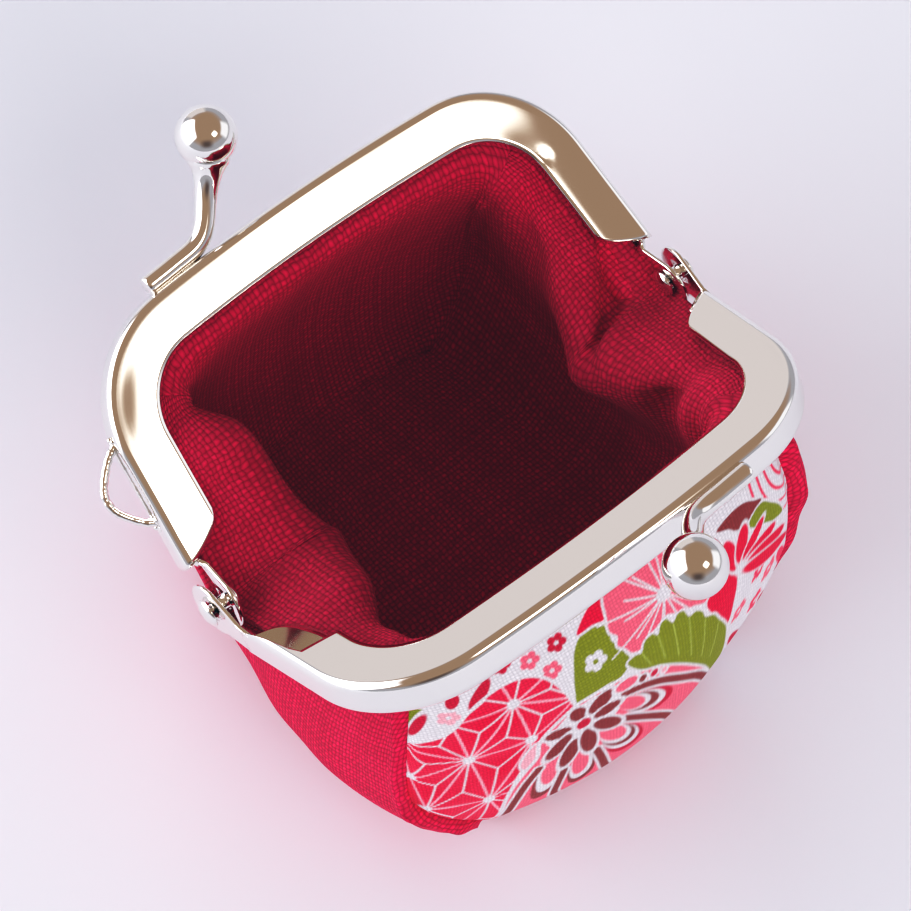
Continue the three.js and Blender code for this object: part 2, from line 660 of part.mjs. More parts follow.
function shellPieces(layer, names, materials, folded) {
  const { front, back, strip } = shell(layer);
  const frontIn = normals(front, 1);
  const backIn = normals(back, -1);
  const stripIn = normals(strip, -1);
  mitre(frontIn, stripIn[0], front);
  mitre(backIn, stripIn[SIDE_STEPS], back);
  const stripGrid = pullBackColumns(folded ? foldStrip(strip, stripIn) : strip);
  return [
    clothPiece(names.front, pullBackFoot(pullBackColumns(front)), frontIn, true, materials.panel),
    clothPiece(names.back, pullBackFoot(pullBackColumns(back)), backIn, false, materials.panel),
    clothPiece(names.strip, stripGrid, stripIn, false, materials.strip),
  ];
}

const purse = new THREE.Group();
purse.name = 'coin_purse';
HALVES.forEach((half) => purse.add(frameHalf(half)));
purse.add(rivet('rivet_left', -1), rivet('rivet_right', 1));
purse.add(...shellPieces(OUTER, { front: 'panel_front', back: 'panel_back', strip: 'gusset' },
  { panel: PRINT, strip: CANVAS }, false));
purse.add(...shellPieces(LINING, { front: 'lining_front', back: 'lining_back', strip: 'lining_gusset' },
  { panel: CANVAS, strip: CANVAS }, true));

export default purse;
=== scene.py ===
import math

import bpy
import numpy as np
from mathutils import Matrix


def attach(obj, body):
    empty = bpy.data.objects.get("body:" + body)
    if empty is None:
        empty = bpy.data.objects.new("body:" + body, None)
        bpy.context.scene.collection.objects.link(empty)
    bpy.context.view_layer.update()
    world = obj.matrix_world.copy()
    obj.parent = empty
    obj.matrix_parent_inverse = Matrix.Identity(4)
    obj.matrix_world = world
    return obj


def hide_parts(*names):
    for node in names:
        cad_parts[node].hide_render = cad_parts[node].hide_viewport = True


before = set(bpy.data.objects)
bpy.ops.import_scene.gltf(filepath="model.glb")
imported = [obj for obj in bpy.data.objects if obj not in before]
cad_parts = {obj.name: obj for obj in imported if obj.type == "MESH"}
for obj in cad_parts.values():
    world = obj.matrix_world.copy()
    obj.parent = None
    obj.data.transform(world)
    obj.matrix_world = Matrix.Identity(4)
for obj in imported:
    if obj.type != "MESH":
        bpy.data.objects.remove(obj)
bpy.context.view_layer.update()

# Sizes are in millimetres and become metres where a mesh is made
MM = 0.001
TINY = 1e-9
PHOTO_SIZE = 911
SENSOR_WIDTH = 36.0

# Camera, fitted to the outlines of the two frame halves
CAMERA_AZIMUTH = math.radians(-39.375)
CAMERA_ELEVATION = math.radians(62.457)
CAMERA_PLACE = (-99.714, -121.97, 327.92)
FOCAL_PIXELS = 3414.64

# Frame: one half is drawn in its own plane, u along the hinge axis, v away from it,
# w outwards through the thickness of the channel
HINGE_HEIGHT = 30.0
LEAN = math.radians(60)
HINGE_HALF_WIDTH = 30.0
TOP_HALF_WIDTH = 27.8
CORNER_DEPTH = 27.1
BAR_BOW = 1.6
CORNER_RADIUS = 12.5
FLANGE_WIDTH = 5.1
CHANNEL = 3.9
SHEET = 0.5
ROLLED_EDGE = 0.9
LEG_END = 4.5
FLANGE_CROWN = 0.05
NOTCHED_FROM = 10.0
FLANGE_SETTLED = 1.6
FLANGE_WAVE = 0.012
FLANGE_TURNS = 5.0
FLANGE_PHASE = 1.0
FLANGE_STEPS = 10
ROLL_STEPS = 10
WEB_STEPS = 4
LIP_ROUND = 0.16
# Ends of the inner flange: inset and rise of the notch's two corners, and for a plain end the
# power of its slope and the share of its width from which it is rounded
NOTCH_INSETS = (0.4, 1.1)
NOTCH_RISES = (2.7, -0.6)
END_POWER = 1.5
END_ROUND_FROM = 0.86
END_ROUND = 0.7
# Dents pressed into the inner flanges. Columns: half, side, station, inset, spread along,
# spread across, depth
FLANGE_DENTS = [
    ("frame_back", -1, 1.32, 0.9, 0.34, 2.0, 0.15),
    ("frame_back", -1, 0.45, 2.0, 0.12, 1.6, 0.07),
    ("frame_back", 1, 0.45, 5.1, 0.62, 3.0, -0.3),
    ("frame_back", 1, 1.10, 4.4, 0.07, 0.7, 0.09),
    ("frame_back", 1, 3.0, -1.5, 1.0, 4.0, -0.1),
    ("frame_back", -1, 3.0, -1.5, 1.0, 4.0, -0.1),
    ("frame_back", 1, 1.75, -1.5, 0.5, 4.0, -0.22),
    ("frame_back", 1, 1.45, 6.5, 0.3, 2.2, -0.14),
]
LEG_STEPS = 22
CORNER_STEPS = 26
BAR_STEPS = 34

# Stations along one side of the outline, which starts at the hinge
CORNER_FOOT = 1
CORNER_HEAD = 2
BAR_MIDDLE = 3

# Floor of the channel that shows between a hinge and the notched flange, as v and inset
TAB_OUTLINE = [(5.8, 0.5), (7.0, 2.6), (8.4, 3.7), (10.0, 4.2), (12.0, 4.6), (14.0, 4.6)]
TAB_ROOT = 0.3
TAB_DEPTH = 0.9
TAB_DROP = -0.013
TAB_THICKNESS = 0.4
TAB_STEPS = 6
TAB_POINTS = 8

# Hinge lugs and rivets
LUG_RADIUS = 2.9
LUG_LENGTH = 6.4
LUG_THICKNESS = 0.46
LUG_STEP = 1.7
LUG_NECK_ANGLE = 1.1
LUG_EDGE = 0.1
LUG_RINGS = (0.12, 0.35, 0.6, 0.85, 1.0)
LUG_SEGMENTS = 96
LUG_BEND = (LEG_END - 0.6, LUG_LENGTH - 0.4)
PIN_RADIUS = 0.8
PIN_HOLE_RADIUS = 1.0
RIVET_HEAD = 1.5
RIVET_GAP = 0.3
RIVET_DOME = 0.65
RIVET_STEPS = 8
RIVET_SIDES = 40

# Kiss clasp and strap loop. A tube whose start is more upright than the limit is turned about x
UPRIGHT_LIMIT = 0.1
STEM_RADIUS = 1.05
STEM_NECK_RADIUS = 2.2
BALL_RADIUS = 3.1
NECK_FROM = BALL_RADIUS * 0.8
NECK_LENGTH = 1.3
STEM_END_OUT = 0.1
STEM_END_IN = 0.14
STEM_STEPS = 9
STEM_SIDES = 28
STEM_ROUTE = [
    (-16.0, 29.0, 1.4),
    (-12.6, 29.25, 1.4),
    (-9.7, 29.6, 1.3),
    (-8.0, 30.7, 1.1),
    (-6.2, 33.1, 0.6),
    (-4.4, 35.7, -0.3),
    (-3.3, 37.9, -1.0),
]
LOOP_WIRE_RADIUS = 0.42
LOOP_ROUTE = [
    (-28.1, 18.3),
    (-29.6, 17.4),
    (-31.4, 15.6),
    (-32.0, 14.2),
    (-31.7, 12.6),
    (-30.2, 10.6),
    (-28.9, 9.7),
]
LOOP_STEPS = 8
LOOP_SIDES = 14
LOOP_BASE = [(-28.25, 18.9), (-29.1, 8.8)]
LOOP_BASE_STEPS = 24
LOOP_BASE_RADIUS = LOOP_WIRE_RADIUS * 0.9
LOOP_UNEVEN = (0.9, 1.12)
LOOP_SEED = 21
# Solder at the loop's ends: drops at each end, their spread in u, v and w, and their radii
SOLDER_DROPS = 6
SOLDER_SPREAD = (0.3, 0.6, 0.4)
SOLDER_RADII = (0.25, 0.45)
SOLDER_SEGMENTS = 12
SOLDER_RINGS = 8

# The two halves: which way they face, where their lugs sit, how far the clasp is off the
# middle, how far above the hinge each inner flange stops, how much its lip is raised, and
# which one has the strap loop
HALVES = [
    dict(name="frame_back", back=True, lug_inset=LUG_STEP, clasp_shift=-0.95,
         flange_left=7.0, flange_right=7.0, flange_rise=0.0, loop=True),
    dict(name="frame_front", back=False, lug_inset=0.0, clasp_shift=1.4,
         flange_left=8.0, flange_right=13.5, flange_rise=0.35, loop=False),
]

# Cloth
CLOTH = 1.0
LINING_CLOTH = 0.6
TOP_INSET = 1.9
EXIT_INSET = 5.6
SEAM_STATION = 1.38
FREE_EDGE_DEPTH = 8.0
FREE_EDGE_SHARE = 0.3
FREE_EDGE_PULL = 12.0
LIFT_FROM = 0.75
CORNER_POWER = 6
MITRE_LIMIT = -0.4
SEAM_DEPTH = 0.7
SEAM_WIDTH = 0.9
SEAM_BLEND = 2.2
PUCKER = 0.24
PUCKER_LENGTH = 5.5
HIDDEN_STEP = 8
SOFTEN_ROUNDS = 70
FREE_RUN = 5.0

# The front seams run in over the edge of the print: share of the way down and millimetres
SEAM_REACH = 9.0
SEAM_SHIFT_LEFT = [(0.52, 0.0), (0.6, 0.4), (0.66, 1.6), (0.72, 3.0), (0.78, 3.5), (0.85, 2.9),
                   (0.92, 1.7), (1.0, 0.0)]
SEAM_SHIFT_RIGHT = [(0.2, 0.0), (0.32, 0.4), (0.4, 1.3), (0.53, 2.5), (0.64, 2.7), (0.75, 1.9),
                    (0.87, 0.6), (1.0, 0.0)]
# The strip stands up in a wavy ridge beside the front seams
RIDGE = 0.55
RIDGE_WAVE = 0.5
RIDGE_PLACE = 1.5
RIDGE_WIDTH = 0.9

# Sections of the two shells. Columns: reach, flare, belly x y z, up, down, foot x y, ease x y z
OUTER = {
    "w": 3.1, "free_edge_out": 2.0, "base": 0.0, "lift": 0.8,
    "pillow": {"front_left": 1.3, "front_right": 2.0, "back_left": 0.0, "back_right": 0.3},
    "panel_front": (1.2, 3.0, 0.0, 30.2, 12.0, 20.0, 6.0, 0.0, 25.4, 0.0, 3.0, 1.2),
    "panel_back": (1.2, 3.0, 0.0, 28.0, 12.0, 20.0, 6.0, 0.0, 24.4, 0.0, 3.0, 1.2),
    "front_left": (1.2, 3.0, 26.2, 24.6, 20.0, 17.0, 7.0, 15.6, 25.0, 2.4, 0.5, 0.4),
    "front_right": (1.2, 3.0, 25.4, 24.6, 21.0, 18.0, 7.5, 16.0, 24.4, 2.6, 0.5, 0.4),
    "back_left": (1.2, 3.0, 22.4, 24.2, 18.0, 18.0, 7.5, 15.0, 24.0, 2.8, 0.5, 0.4),
    "back_right": (1.2, 3.0, 23.4, 24.2, 18.0, 18.0, 7.5, 15.0, 24.0, 2.8, 0.5, 0.4),
    "hinge_left": (1.5, 3.0, 26.0, 0.0, 10.0, 10.0, 5.0, 19.2, 0.0, 3.4, 0.0, 0.0),
    "hinge_right": (1.5, 3.0, 25.0, 0.0, 10.0, 10.0, 5.0, 18.5, 0.0, 3.6, 0.0, 0.0),
}
LINING = {
    "w": 1.8, "free_edge_out": 1.3, "base": 1.3, "lift": 1.6,
    "pillow": {"front_left": 0.4, "front_right": 0.6, "back_left": 0.0, "back_right": 0.2},
    "panel_front": (3.0, -0.8, 0.0, 26.2, 13.0, 16.0, 6.0, 0.0, 22.4, 0.0, 2.0, 1.0),
    "panel_back": (3.0, -0.8, 0.0, 25.4, 13.0, 16.0, 6.0, 0.0, 22.2, 0.0, 2.0, 1.0),
    "front_left": (6.5, -0.8, 23.2, 22.4, 17.0, 12.0, 6.0, 14.6, 21.8, 2.2, 0.5, 0.4),
    "front_right": (8.5, -0.8, 22.6, 22.4, 17.0, 12.0, 6.0, 14.6, 21.8, 2.2, 0.5, 0.4),
    "back_left": (4.0, -0.8, 20.0, 22.0, 17.0, 12.0, 6.0, 13.6, 21.6, 2.2, 0.5, 0.4),
    "back_right": (6.0, -0.8, 20.8, 22.0, 17.0, 12.0, 6.0, 13.6, 21.6, 2.2, 0.5, 0.4),
    "hinge_left": (14.0, -1.6, 21.8, 0.0, 10.0, 9.0, 4.0, 16.6, 0.0, 2.6, 0.0, 0.0),
    "hinge_right": (13.0, -1.6, 22.2, 0.0, 10.0, 9.0, 4.0, 16.6, 0.0, 2.6, 0.0, 0.0),
}
LEAVE_REACH, LEAVE_FLARE = 0, 1
BELLY_X, BELLY_Y, BELLY_Z = 2, 3, 4
BELLY_UP, BELLY_DOWN = 5, 6
FOOT_X, FOOT_Y = 7, 8
EASE_X, EASE_Y, EASE_Z = 9, 10, 11

# Folds of the lining's sides. Columns: side, place across (-1 front seam, 1 back seam), how
# much that place moves on the way down, spread across, share of the way down, spread down,
# height into the purse
SIDE_FOLDS = [
    (1, 0.55, 0.0, 0.22, 0.30, 0.16, -2.0),
    (1, 0.10, -1.9, 0.075, 0.18, 0.10, -2.9),
    (1, -0.08, -0.8, 0.09, 0.19, 0.08, 0.6),
    (1, -0.04, 0.3, 0.20, 0.34, 0.13, 2.6),
    (1, -0.50, 0.2, 0.10, 0.33, 0.13, -3.4),
    (1, -0.80, 0.0, 0.14, 0.30, 0.14, 0.9),
    (-1, 0.60, 0.0, 0.35, 0.30, 0.16, 2.5),
    (-1, -0.02, 0.0, 0.25, 0.31, 0.16, 3.3),
    (-1, -0.36, 0.0, 0.10, 0.20, 0.10, 0.7),
    (-1, -0.70, 0.0, 0.20, 0.30, 0.14, -1.6),
]
FOLD_CLEAR = 6.0

# Share of a section that is in the channel, above the belly and below it
SECTION_SHARES = (2 / 14, 7 / 14, 5 / 14)

# Random waves: how many are added up, and between which shares their lengths lie
RIPPLE_COUNT = 7
RIPPLE_SPREAD = (0.75, 1.4)

# Wrinkles as depth and wavelength, and the heights between which they fade in above the base
STRIP_WRINKLE = (0.12, 11.0)
PANEL_WRINKLE = (0.08, 13.0)
WRINKLE_FADE = (1.0, 6.0)
RIDGE_FADE = (0.5, 9.0)

# Weave: distance between yarns, relief, roughness as slope and level, and the strength of the
# colour between the yarns and on their crowns, which gives painted shade between the yarns and
# a painted highlight on the crowns. Noises are given as scale and detail
CANVAS_PITCH = 0.55
CANVAS_RELIEF = 0.11
CANVAS_ROUGHNESS = (-0.12, 0.95)
# Outer canvas and lining are the same red cloth in two copies: painted light makes the outer one brighter
# and painted shade makes the lining darker
CANVAS_PAINTED_LIGHT = (0.52, 1.44)
LINING_PAINTED_SHADE = (0.42, 1.1)
COTTON_PITCH = 0.40
COTTON_RELIEF = 0.065
COTTON_ROUGHNESS = (-0.1, 0.9)
COTTON_PAINTED_YARN_SHADE = (0.78, 1.13)
CLOTH_SPECULAR = 0.25
CLOTH_SHEEN = 0.05
CANVAS_SHEEN_ROUGHNESS = 0.5
CANVAS_SHEEN_TINT = (1.0, 0.45, 0.55, 1)
YARN_DRIFT = 3.0
DRIFT_SCALES = (0.09, 0.11)
DRIFT_DETAIL = 3.0
YARN_SLUB = 0.7
SLUB_NOISE = (1.3, 1.0)
YARN_SPREAD = 0.7
YARN_CRIMP = 0.6
WEFT_CROWN = 0.5
CROWN_WIDTH = 0.5
CANVAS_RED = (0.60, 0.004, 0.058)
CANVAS_WORN = (0.70, 0.008, 0.088)
WORN_NOISE = (0.25, 4.0)

# Nickel plate: colour, scale and detail of its clouds, and roughness as slope and level
NICKEL = (0.88, 0.86, 0.835, 1)
NICKEL_CLOUDS = (130.0, 3.0)
NICKEL_ROUGHNESS = (0.06, 0.03)


# Small maths

def lerp(a, b, t):
    return a + (b - a) * t


def unit(v):
    return v / np.maximum(np.linalg.norm(v, axis=-1, keepdims=True), TINY)


def smoothstep(low, high, x):
    t = np.clip((x - low) / (high - low), 0, 1)
    return t * t * (3 - 2 * t)


def bezier(p0, p1, p2, p3, t):
    s = 1 - t
    return p0 * s ** 3 + p1 * 3 * s * s * t + p2 * 3 * s * t * t + p3 * t ** 3


def ripples(x, y, wavelength, seed):
    """Smooth random waves over a surface, about -1 to 1."""
    random = np.random.default_rng(seed)
    total = np.zeros(np.broadcast(x, y).shape)
    for _ in range(RIPPLE_COUNT):
        angle = random.uniform(0, math.pi)
        turns = 2 * math.pi / (wavelength * random.uniform(*RIPPLE_SPREAD))
        phase = random.uniform(0, 2 * math.pi)
        total = total + np.sin(turns * (x * math.cos(angle) + y * math.sin(angle)) + phase)
    return total / math.sqrt(RIPPLE_COUNT)


# Outline of a frame half: two leaning legs, round corners and a slightly bowed bar
LEG_DIRECTION = unit(np.array([TOP_HALF_WIDTH - HINGE_HALF_WIDTH, CORNER_DEPTH]))
LEG_INWARD = np.array([-LEG_DIRECTION[1], LEG_DIRECTION[0]])
LEG_LEAN = LEG_DIRECTION[0] / LEG_DIRECTION[1]
BAR_RADIUS = (TOP_HALF_WIDTH ** 2 + BAR_BOW ** 2) / (2 * BAR_BOW)
BAR_CENTRE = np.array([0.0, CORNER_DEPTH + BAR_BOW - BAR_RADIUS])
HINGE = np.array([HINGE_HALF_WIDTH, 0.0])
CORNER_START = HINGE + LEG_INWARD * CORNER_RADIUS
TO_START = CORNER_START - BAR_CENTRE
ALONG = TO_START @ LEG_DIRECTION
LEG_LENGTH = -ALONG + math.sqrt(ALONG ** 2 - TO_START @ TO_START + (BAR_RADIUS - CORNER_RADIUS) ** 2)
CORNER_CENTRE = CORNER_START + LEG_DIRECTION * LEG_LENGTH
CORNER_FROM = math.atan2(-LEG_INWARD[1], -LEG_INWARD[0])
CORNER_TO = math.atan2(*(CORNER_CENTRE - BAR_CENTRE)[::-1])
LEG_RISE = LEG_LENGTH * LEG_DIRECTION[1]


def rim(station):
    """Points of the right half of the outline and the directions into the frame there."""
    station = np.asarray(station, float)[..., None]
    on_corner = station <= CORNER_HEAD
    angle = np.where(on_corner, lerp(CORNER_FROM, CORNER_TO, station - CORNER_FOOT),
                     lerp(CORNER_TO, math.pi / 2, station - CORNER_HEAD))
    outward = np.concatenate([np.cos(angle), np.sin(angle)], -1)
    rounded = np.where(on_corner, CORNER_CENTRE + CORNER_RADIUS * outward,
                       BAR_CENTRE + BAR_RADIUS * outward)
    on_leg = station <= CORNER_FOOT
    point = np.where(on_leg, HINGE + LEG_DIRECTION * LEG_LENGTH * station, rounded)
    return point, np.where(on_leg, LEG_INWARD, -outward)


def on_half(u, v, w, back):
    """Place in a leaning half of the frame, as a point of the purse."""
    u, v, w = np.broadcast_arrays(u, v, w)
    y = v * math.sin(LEAN) + w * math.cos(LEAN)
    z = HINGE_HEIGHT + v * math.cos(LEAN) - w * math.sin(LEAN)
    if back:
        return np.stack([u, y, z], -1)
    return np.stack([-u, -y, z], -1)


def in_plane(direction, back):
    y = direction[..., 1] * math.sin(LEAN)
    return np.stack([direction[..., 0], y if back else -y, direction[..., 1] * math.cos(LEAN)], -1)


def out_of_plane(back):
    return np.array([0.0, math.cos(LEAN) * (1 if back else -1), -math.sin(LEAN)])


# Forms of the cloth

def top_on_frame(station, w, back):
    """Top edge of the cloth at stations of the outline, with the directions it leaves in."""
    point, inward = rim(station)
    point = point + inward * TOP_INSET
    top = on_half(point[..., 0], point[..., 1], w, True) * [1, 1 if back else -1, 1]
    return top, in_plane(inward, back), np.broadcast_to(out_of_plane(back), top.shape)


def top_of_side(across, layer):
    """Top edge of a side: along the legs, then free past the hinge between them."""
    free_station = FREE_EDGE_DEPTH / LEG_RISE
    share = np.abs(across)
    part = np.clip((share - FREE_EDGE_SHARE) / (1 - FREE_EDGE_SHARE), 0, 1)
    station = lerp(free_station, SEAM_STATION, part)
    front = top_on_frame(station, layer["w"], False)
    back = top_on_frame(station, layer["w"], True)
    on_back = (across > 0)[:, None]
    on_leg = [np.where(on_back, b, f) for f, b in zip(front, back)]
    start, end = ([v[0] for v in top_on_frame(np.array([free_station]), layer["w"], is_back)]
                  for is_back in (False, True))
    part = np.clip((across + FREE_EDGE_SHARE) / (2 * FREE_EDGE_SHARE), 0, 1)[:, None]
    from_start = start[0] - in_plane(LEG_DIRECTION, False) * FREE_EDGE_PULL
    from_end = end[0] - in_plane(LEG_DIRECTION, True) * FREE_EDGE_PULL
    top = bezier(start[0], from_start, from_end, end[0], part)
    top[:, 0] = start[0][0] + layer["free_edge_out"] * np.sin(math.pi * part[:, 0]) ** 2
    free = [top, unit(lerp(start[1], end[1], part)), unit(lerp(start[2], end[2], part))]
    is_free = (share < FREE_EDGE_SHARE)[:, None]
    return [np.where(is_free, f, o) for f, o in zip(free, on_leg)]


def sections(edge, row, lift, y_sign, counts):
    """Sections of cloth, from the edge in the channel over the belly to the base."""
    top, inwards, outwards = (v[:, None] for v in edge)
    mirror = np.stack([np.ones_like(y_sign), y_sign, np.ones_like(y_sign)], -1)
    exit_point = top + inwards * (EXIT_INSET - TOP_INSET)
    belly = (row[:, BELLY_X:BELLY_Z + 1] * mirror)[:, None]
    foot = (np.concatenate([row[:, FOOT_X:FOOT_Y + 1], lift[:, None]], -1) * mirror)[:, None]
    ease = (row[:, EASE_X:EASE_Z + 1] * mirror)[:, None]
    columns = (LEAVE_REACH, LEAVE_FLARE, BELLY_UP, BELLY_DOWN)
    reach, flare, up, down = (row[:, n, None, None] for n in columns)
    upright = np.array([0.0, 0.0, 1.0])
    leave = exit_point + inwards * reach + outwards * flare
    t_channel, t_upper, t_lower = (
        np.linspace(0, 1, count + 1)[None, :, None] for count in counts)
    return np.concatenate([
        lerp(top, exit_point, t_channel[:, :-1]),
        bezier(exit_point, leave, belly + upright * up, belly, t_upper[:, :-1]),
        bezier(belly, belly - upright * down, foot + ease, foot, t_lower),
    ], 1)


def section_places(counts):
    """Share of the way down each row of a section, on a scale that doesn't depend on the counts."""
    ends = np.cumsum((0,) + SECTION_SHARES)
    parts = [np.linspace(ends[n], ends[n + 1], count + 1)[:-1] for n, count in enumerate(counts)]
    return np.concatenate([*parts, [1.0]])


def side_sections(across, side, layer, counts):
    word = "right" if side > 0 else "left"
    share = np.abs(across)
    on_back = across > 0
    hinge = np.array(layer["hinge_" + word])
    seam = np.where(on_back[:, None], layer["back_" + word], layer["front_" + word])
    pillow = np.where(on_back, layer["pillow"]["back_" + word], layer["pillow"]["front_" + word])
    row = lerp(hinge, seam, np.where(on_back, share, share ** 2)[:, None])
    edge = (np.maximum(0, share - LIFT_FROM) / (1 - LIFT_FROM)) ** 2
    row[:, BELLY_X] += pillow * 4 * share * (1 - share)
    for column, factor in ((BELLY_Y, share), (FOOT_Y, share), (EASE_Y, edge), (EASE_Z, edge)):
        row[:, column] = seam[:, column] * factor
    lift = lerp(layer["base"], layer["lift"], edge)
    points = sections(top_of_side(across, layer), row, lift, np.where(on_back, 1.0, -1.0), counts)
    return points * np.array([side, 1, 1])


def panel_sections(across, back, layer, counts):
    word = "back" if back else "front"
    share = np.abs(across)
    on_right = across >= 0
    seam = np.where(on_right[:, None], layer[word + "_right"], layer[word + "_left"])
    row = lerp(np.array(layer["panel_" + word]), seam, (share ** 2)[:, None])
    row[:, BELLY_X] = seam[:, BELLY_X] * share
    row[:, FOOT_X] = seam[:, FOOT_X] * share
    row[:, EASE_X] = seam[:, EASE_X] * share ** CORNER_POWER
    edge = top_on_frame(lerp(BAR_MIDDLE, SEAM_STATION, share), layer["w"], back)
    lift = np.full(len(across), layer["lift"])
    y_sign = np.full(len(across), 1.0 if back else -1.0)
    points = sections(edge, row, lift, y_sign, counts)
    points[..., 0] *= np.where(on_right, 1.0, -1.0)[:, None]
    return points


def strip_grid(layer, side_steps, base_steps, counts):
    """The strip of cloth that runs down one side, under the base and up the other."""
    across = np.linspace(-1, 1, side_steps + 1)
    left = side_sections(across, -1, layer, counts)
    right = side_sections(across, 1, layer, counts)
    along = np.linspace(-1, 1, base_steps + 1)
    front = panel_sections(along, False, layer, counts)[:, -1]
    back = panel_sections(along, True, layer, counts)[:, -1]
    f = ((along + 1) / 2)[None, :, None]
    g = ((across + 1) / 2)[:, None, None]
    sides = lerp(left[:, -1][:, None], right[:, -1][:, None], f)
    ends = lerp(front[None], back[None], g)
    corners = lerp(lerp(left[0, -1], right[0, -1], f), lerp(left[-1, -1], right[-1, -1], f), g)
    base = (sides + ends - corners)[:, 1:-1]
    return np.concatenate([soften(left), base, soften(right)[:, ::-1]], 1)


def soften(grid):
    """Evens out the steps across a strip between its two seams."""
    for _ in range(SOFTEN_ROUNDS):
        grid[1:-1] = grid[:-2] / 4 + grid[1:-1] / 2 + grid[2:] / 4
    return grid


def lengths(points, axis, zero):
    """Distance along the rows or columns of a grid from its line number zero."""
    steps = np.linalg.norm(np.diff(points, axis=axis), axis=-1)
    start = np.zeros_like(np.take(steps, [0], axis))
    run = np.concatenate([start, np.cumsum(steps, axis)], axis)
    return run - np.take(run, [zero], axis)


def inward_normals(grid, sign):
    return unit(np.cross(np.gradient(grid, axis=0), np.gradient(grid, axis=1))) * sign


class Sheet:
    """One piece of cloth: its outer face, the directions inwards and its flat coordinates."""

    def __init__(self, grid, sign, middle, both_ends):
        self.grid = grid
        self.inward = inward_normals(grid, sign)
        across = lengths(grid, 0, middle)
        along = lengths(grid[middle:middle + 1], 1, 0)
        self.flat = np.stack([across, np.broadcast_to(along, across.shape)], -1)
        self.from_start = across - across[:1]
        self.from_end = across[-1:] - across
        self.from_foot = -lengths(grid, 1, grid.shape[1] - 1)
        from_top = lengths(grid, 1, 0)
        if both_ends:
            from_top = np.minimum(from_top, self.from_foot)
        out_of_channel = from_top - (EXIT_INSET - TOP_INSET)
        self.free = smoothstep(0, FREE_RUN, out_of_channel)

    def clear_of_seams(self):
        return smoothstep(0, FOLD_CLEAR, np.minimum(self.from_start, self.from_end))

    def push(self, height):
        """Moves the cloth into the purse by a height at every point."""
        self.grid = self.grid + self.inward * height[..., None]

    def draw_in(self, shared, offset, distance, axis):
        """Bends the cloth towards a seam line, where it takes the seam's own direction."""
        shape = (1, -1, 3) if axis == 1 else (-1, 1, 3)
        near = 1 - smoothstep(0, SEAM_BLEND, distance)[..., None]
        own = unit(self.inward) * np.linalg.norm(offset, axis=-1).reshape(shape[:2] + (1,))
        groove = (self.free * np.exp(-(distance / SEAM_WIDTH) ** 2))[..., None]
        self.grid = self.grid + lerp(own, offset.reshape(shape), near) * groove
        turned = np.exp(-(distance / CLOTH) ** 2)[..., None]
        self.inward = lerp(self.inward, shared.reshape(shape), turned)


def shift_at(table, rows):
    return np.interp(rows, *np.array(table).T)


def interpolate(places, values, wanted):
    """Rows of values at the wanted places."""
    return np.stack([np.interp(wanted, places, column) for column in values.T], -1)


def shift_panel(grid, rows):
    """Draws the side edges of the front panel in to where its seams run."""
    run = lengths(grid, 0, 0)
    left = shift_at(SEAM_SHIFT_LEFT, rows) * np.clip(1 - run / SEAM_REACH, 0, 1)
    right = shift_at(SEAM_SHIFT_RIGHT, rows) * np.clip(1 - (run[-1:] - run) / SEAM_REACH, 0, 1)
    wanted = run + left - right
    return np.stack([interpolate(run[:, j], grid[:, j], wanted[:, j]) for j in range(grid.shape[1])], 1)


def shift_strip(grid, panel, rows):
    """Takes the front edge of the strip over the edge of the panel, up to the same seams."""
    grid = grid.copy()
    for table, line_of, ends in (
            (SEAM_SHIFT_LEFT, lambda j: panel[:, j], range(len(rows))),
            (SEAM_SHIFT_RIGHT, lambda j: panel[::-1, j], range(-1, -len(rows) - 1, -1))):
        for j, (column, shift) in enumerate(zip(ends, shift_at(table, rows))):
            over = line_of(j)
            own = grid[:, column]
            over_run = lengths(over[:, None], 0, 0)[:, 0]
            own_run = lengths(own[:, None], 0, 0)[:, 0]
            line = np.concatenate([over[:0:-1], own])
            run = np.concatenate([-over_run[:0:-1], own_run])
            wanted = own_run - shift * np.clip(1 - own_run / SEAM_REACH, 0, 1)
            grid[:, column] = interpolate(run, line, wanted)
    return grid


def sewn_edge(panel, rows):
    """The edge of a panel that is sewn to the strip, with its places on a scale of 0 to 3."""
    places = np.concatenate([rows[:-1], 1 + np.linspace(0, 1, len(panel))[:-1], 3 - rows[::-1]])
    return places, lambda field: np.concatenate([field[0, :-1], field[:-1, -1], field[-1, ::-1]])


def strip_places(rows, base_steps):
    return np.concatenate([rows, 1 + np.linspace(0, 1, base_steps + 1)[1:-1], 3 - rows[::-1]])


def sew(panel, panel_rows, strip, strip_at, line, seed):
    """Draws the edge of a panel and of the strip into one grooved, puckered seam."""
    places, edge_of = sewn_edge(panel.grid, panel_rows)
    on_panel = edge_of(panel.inward)
    on_strip = interpolate(strip_at, strip.inward[line], places)
    agree = np.maximum((on_panel * on_strip).sum(-1, keepdims=True), MITRE_LIMIT)
    shared = (on_panel + on_strip) / (1 + agree)
    along = places * panel.flat[..., 1].max()
    pucker = ripples(along, np.zeros_like(places), PUCKER_LENGTH, seed)[:, None]
    offset = unit(shared) * (SEAM_DEPTH + PUCKER * pucker)
    rows, columns = panel.grid.shape[1], panel.grid.shape[0]
    left, foot, right = np.split(np.arange(len(places)), [rows - 1, rows + columns - 2])
    left = np.append(left, rows - 1)
    foot = np.append(foot, rows + columns - 2)
    right = right[::-1]
    panel.draw_in(shared[left], offset[left], panel.from_start, 1)
    panel.draw_in(shared[right], offset[right], panel.from_end, 1)
    panel.draw_in(shared[foot], offset[foot], panel.from_foot, 0)
    distance = strip.from_start if line == 0 else strip.from_end
    strip_shared = interpolate(places, shared, strip_at)
    strip_offset = interpolate(places, offset, strip_at)
    strip.draw_in(strip_shared, strip_offset, distance, 1)


# Meshes

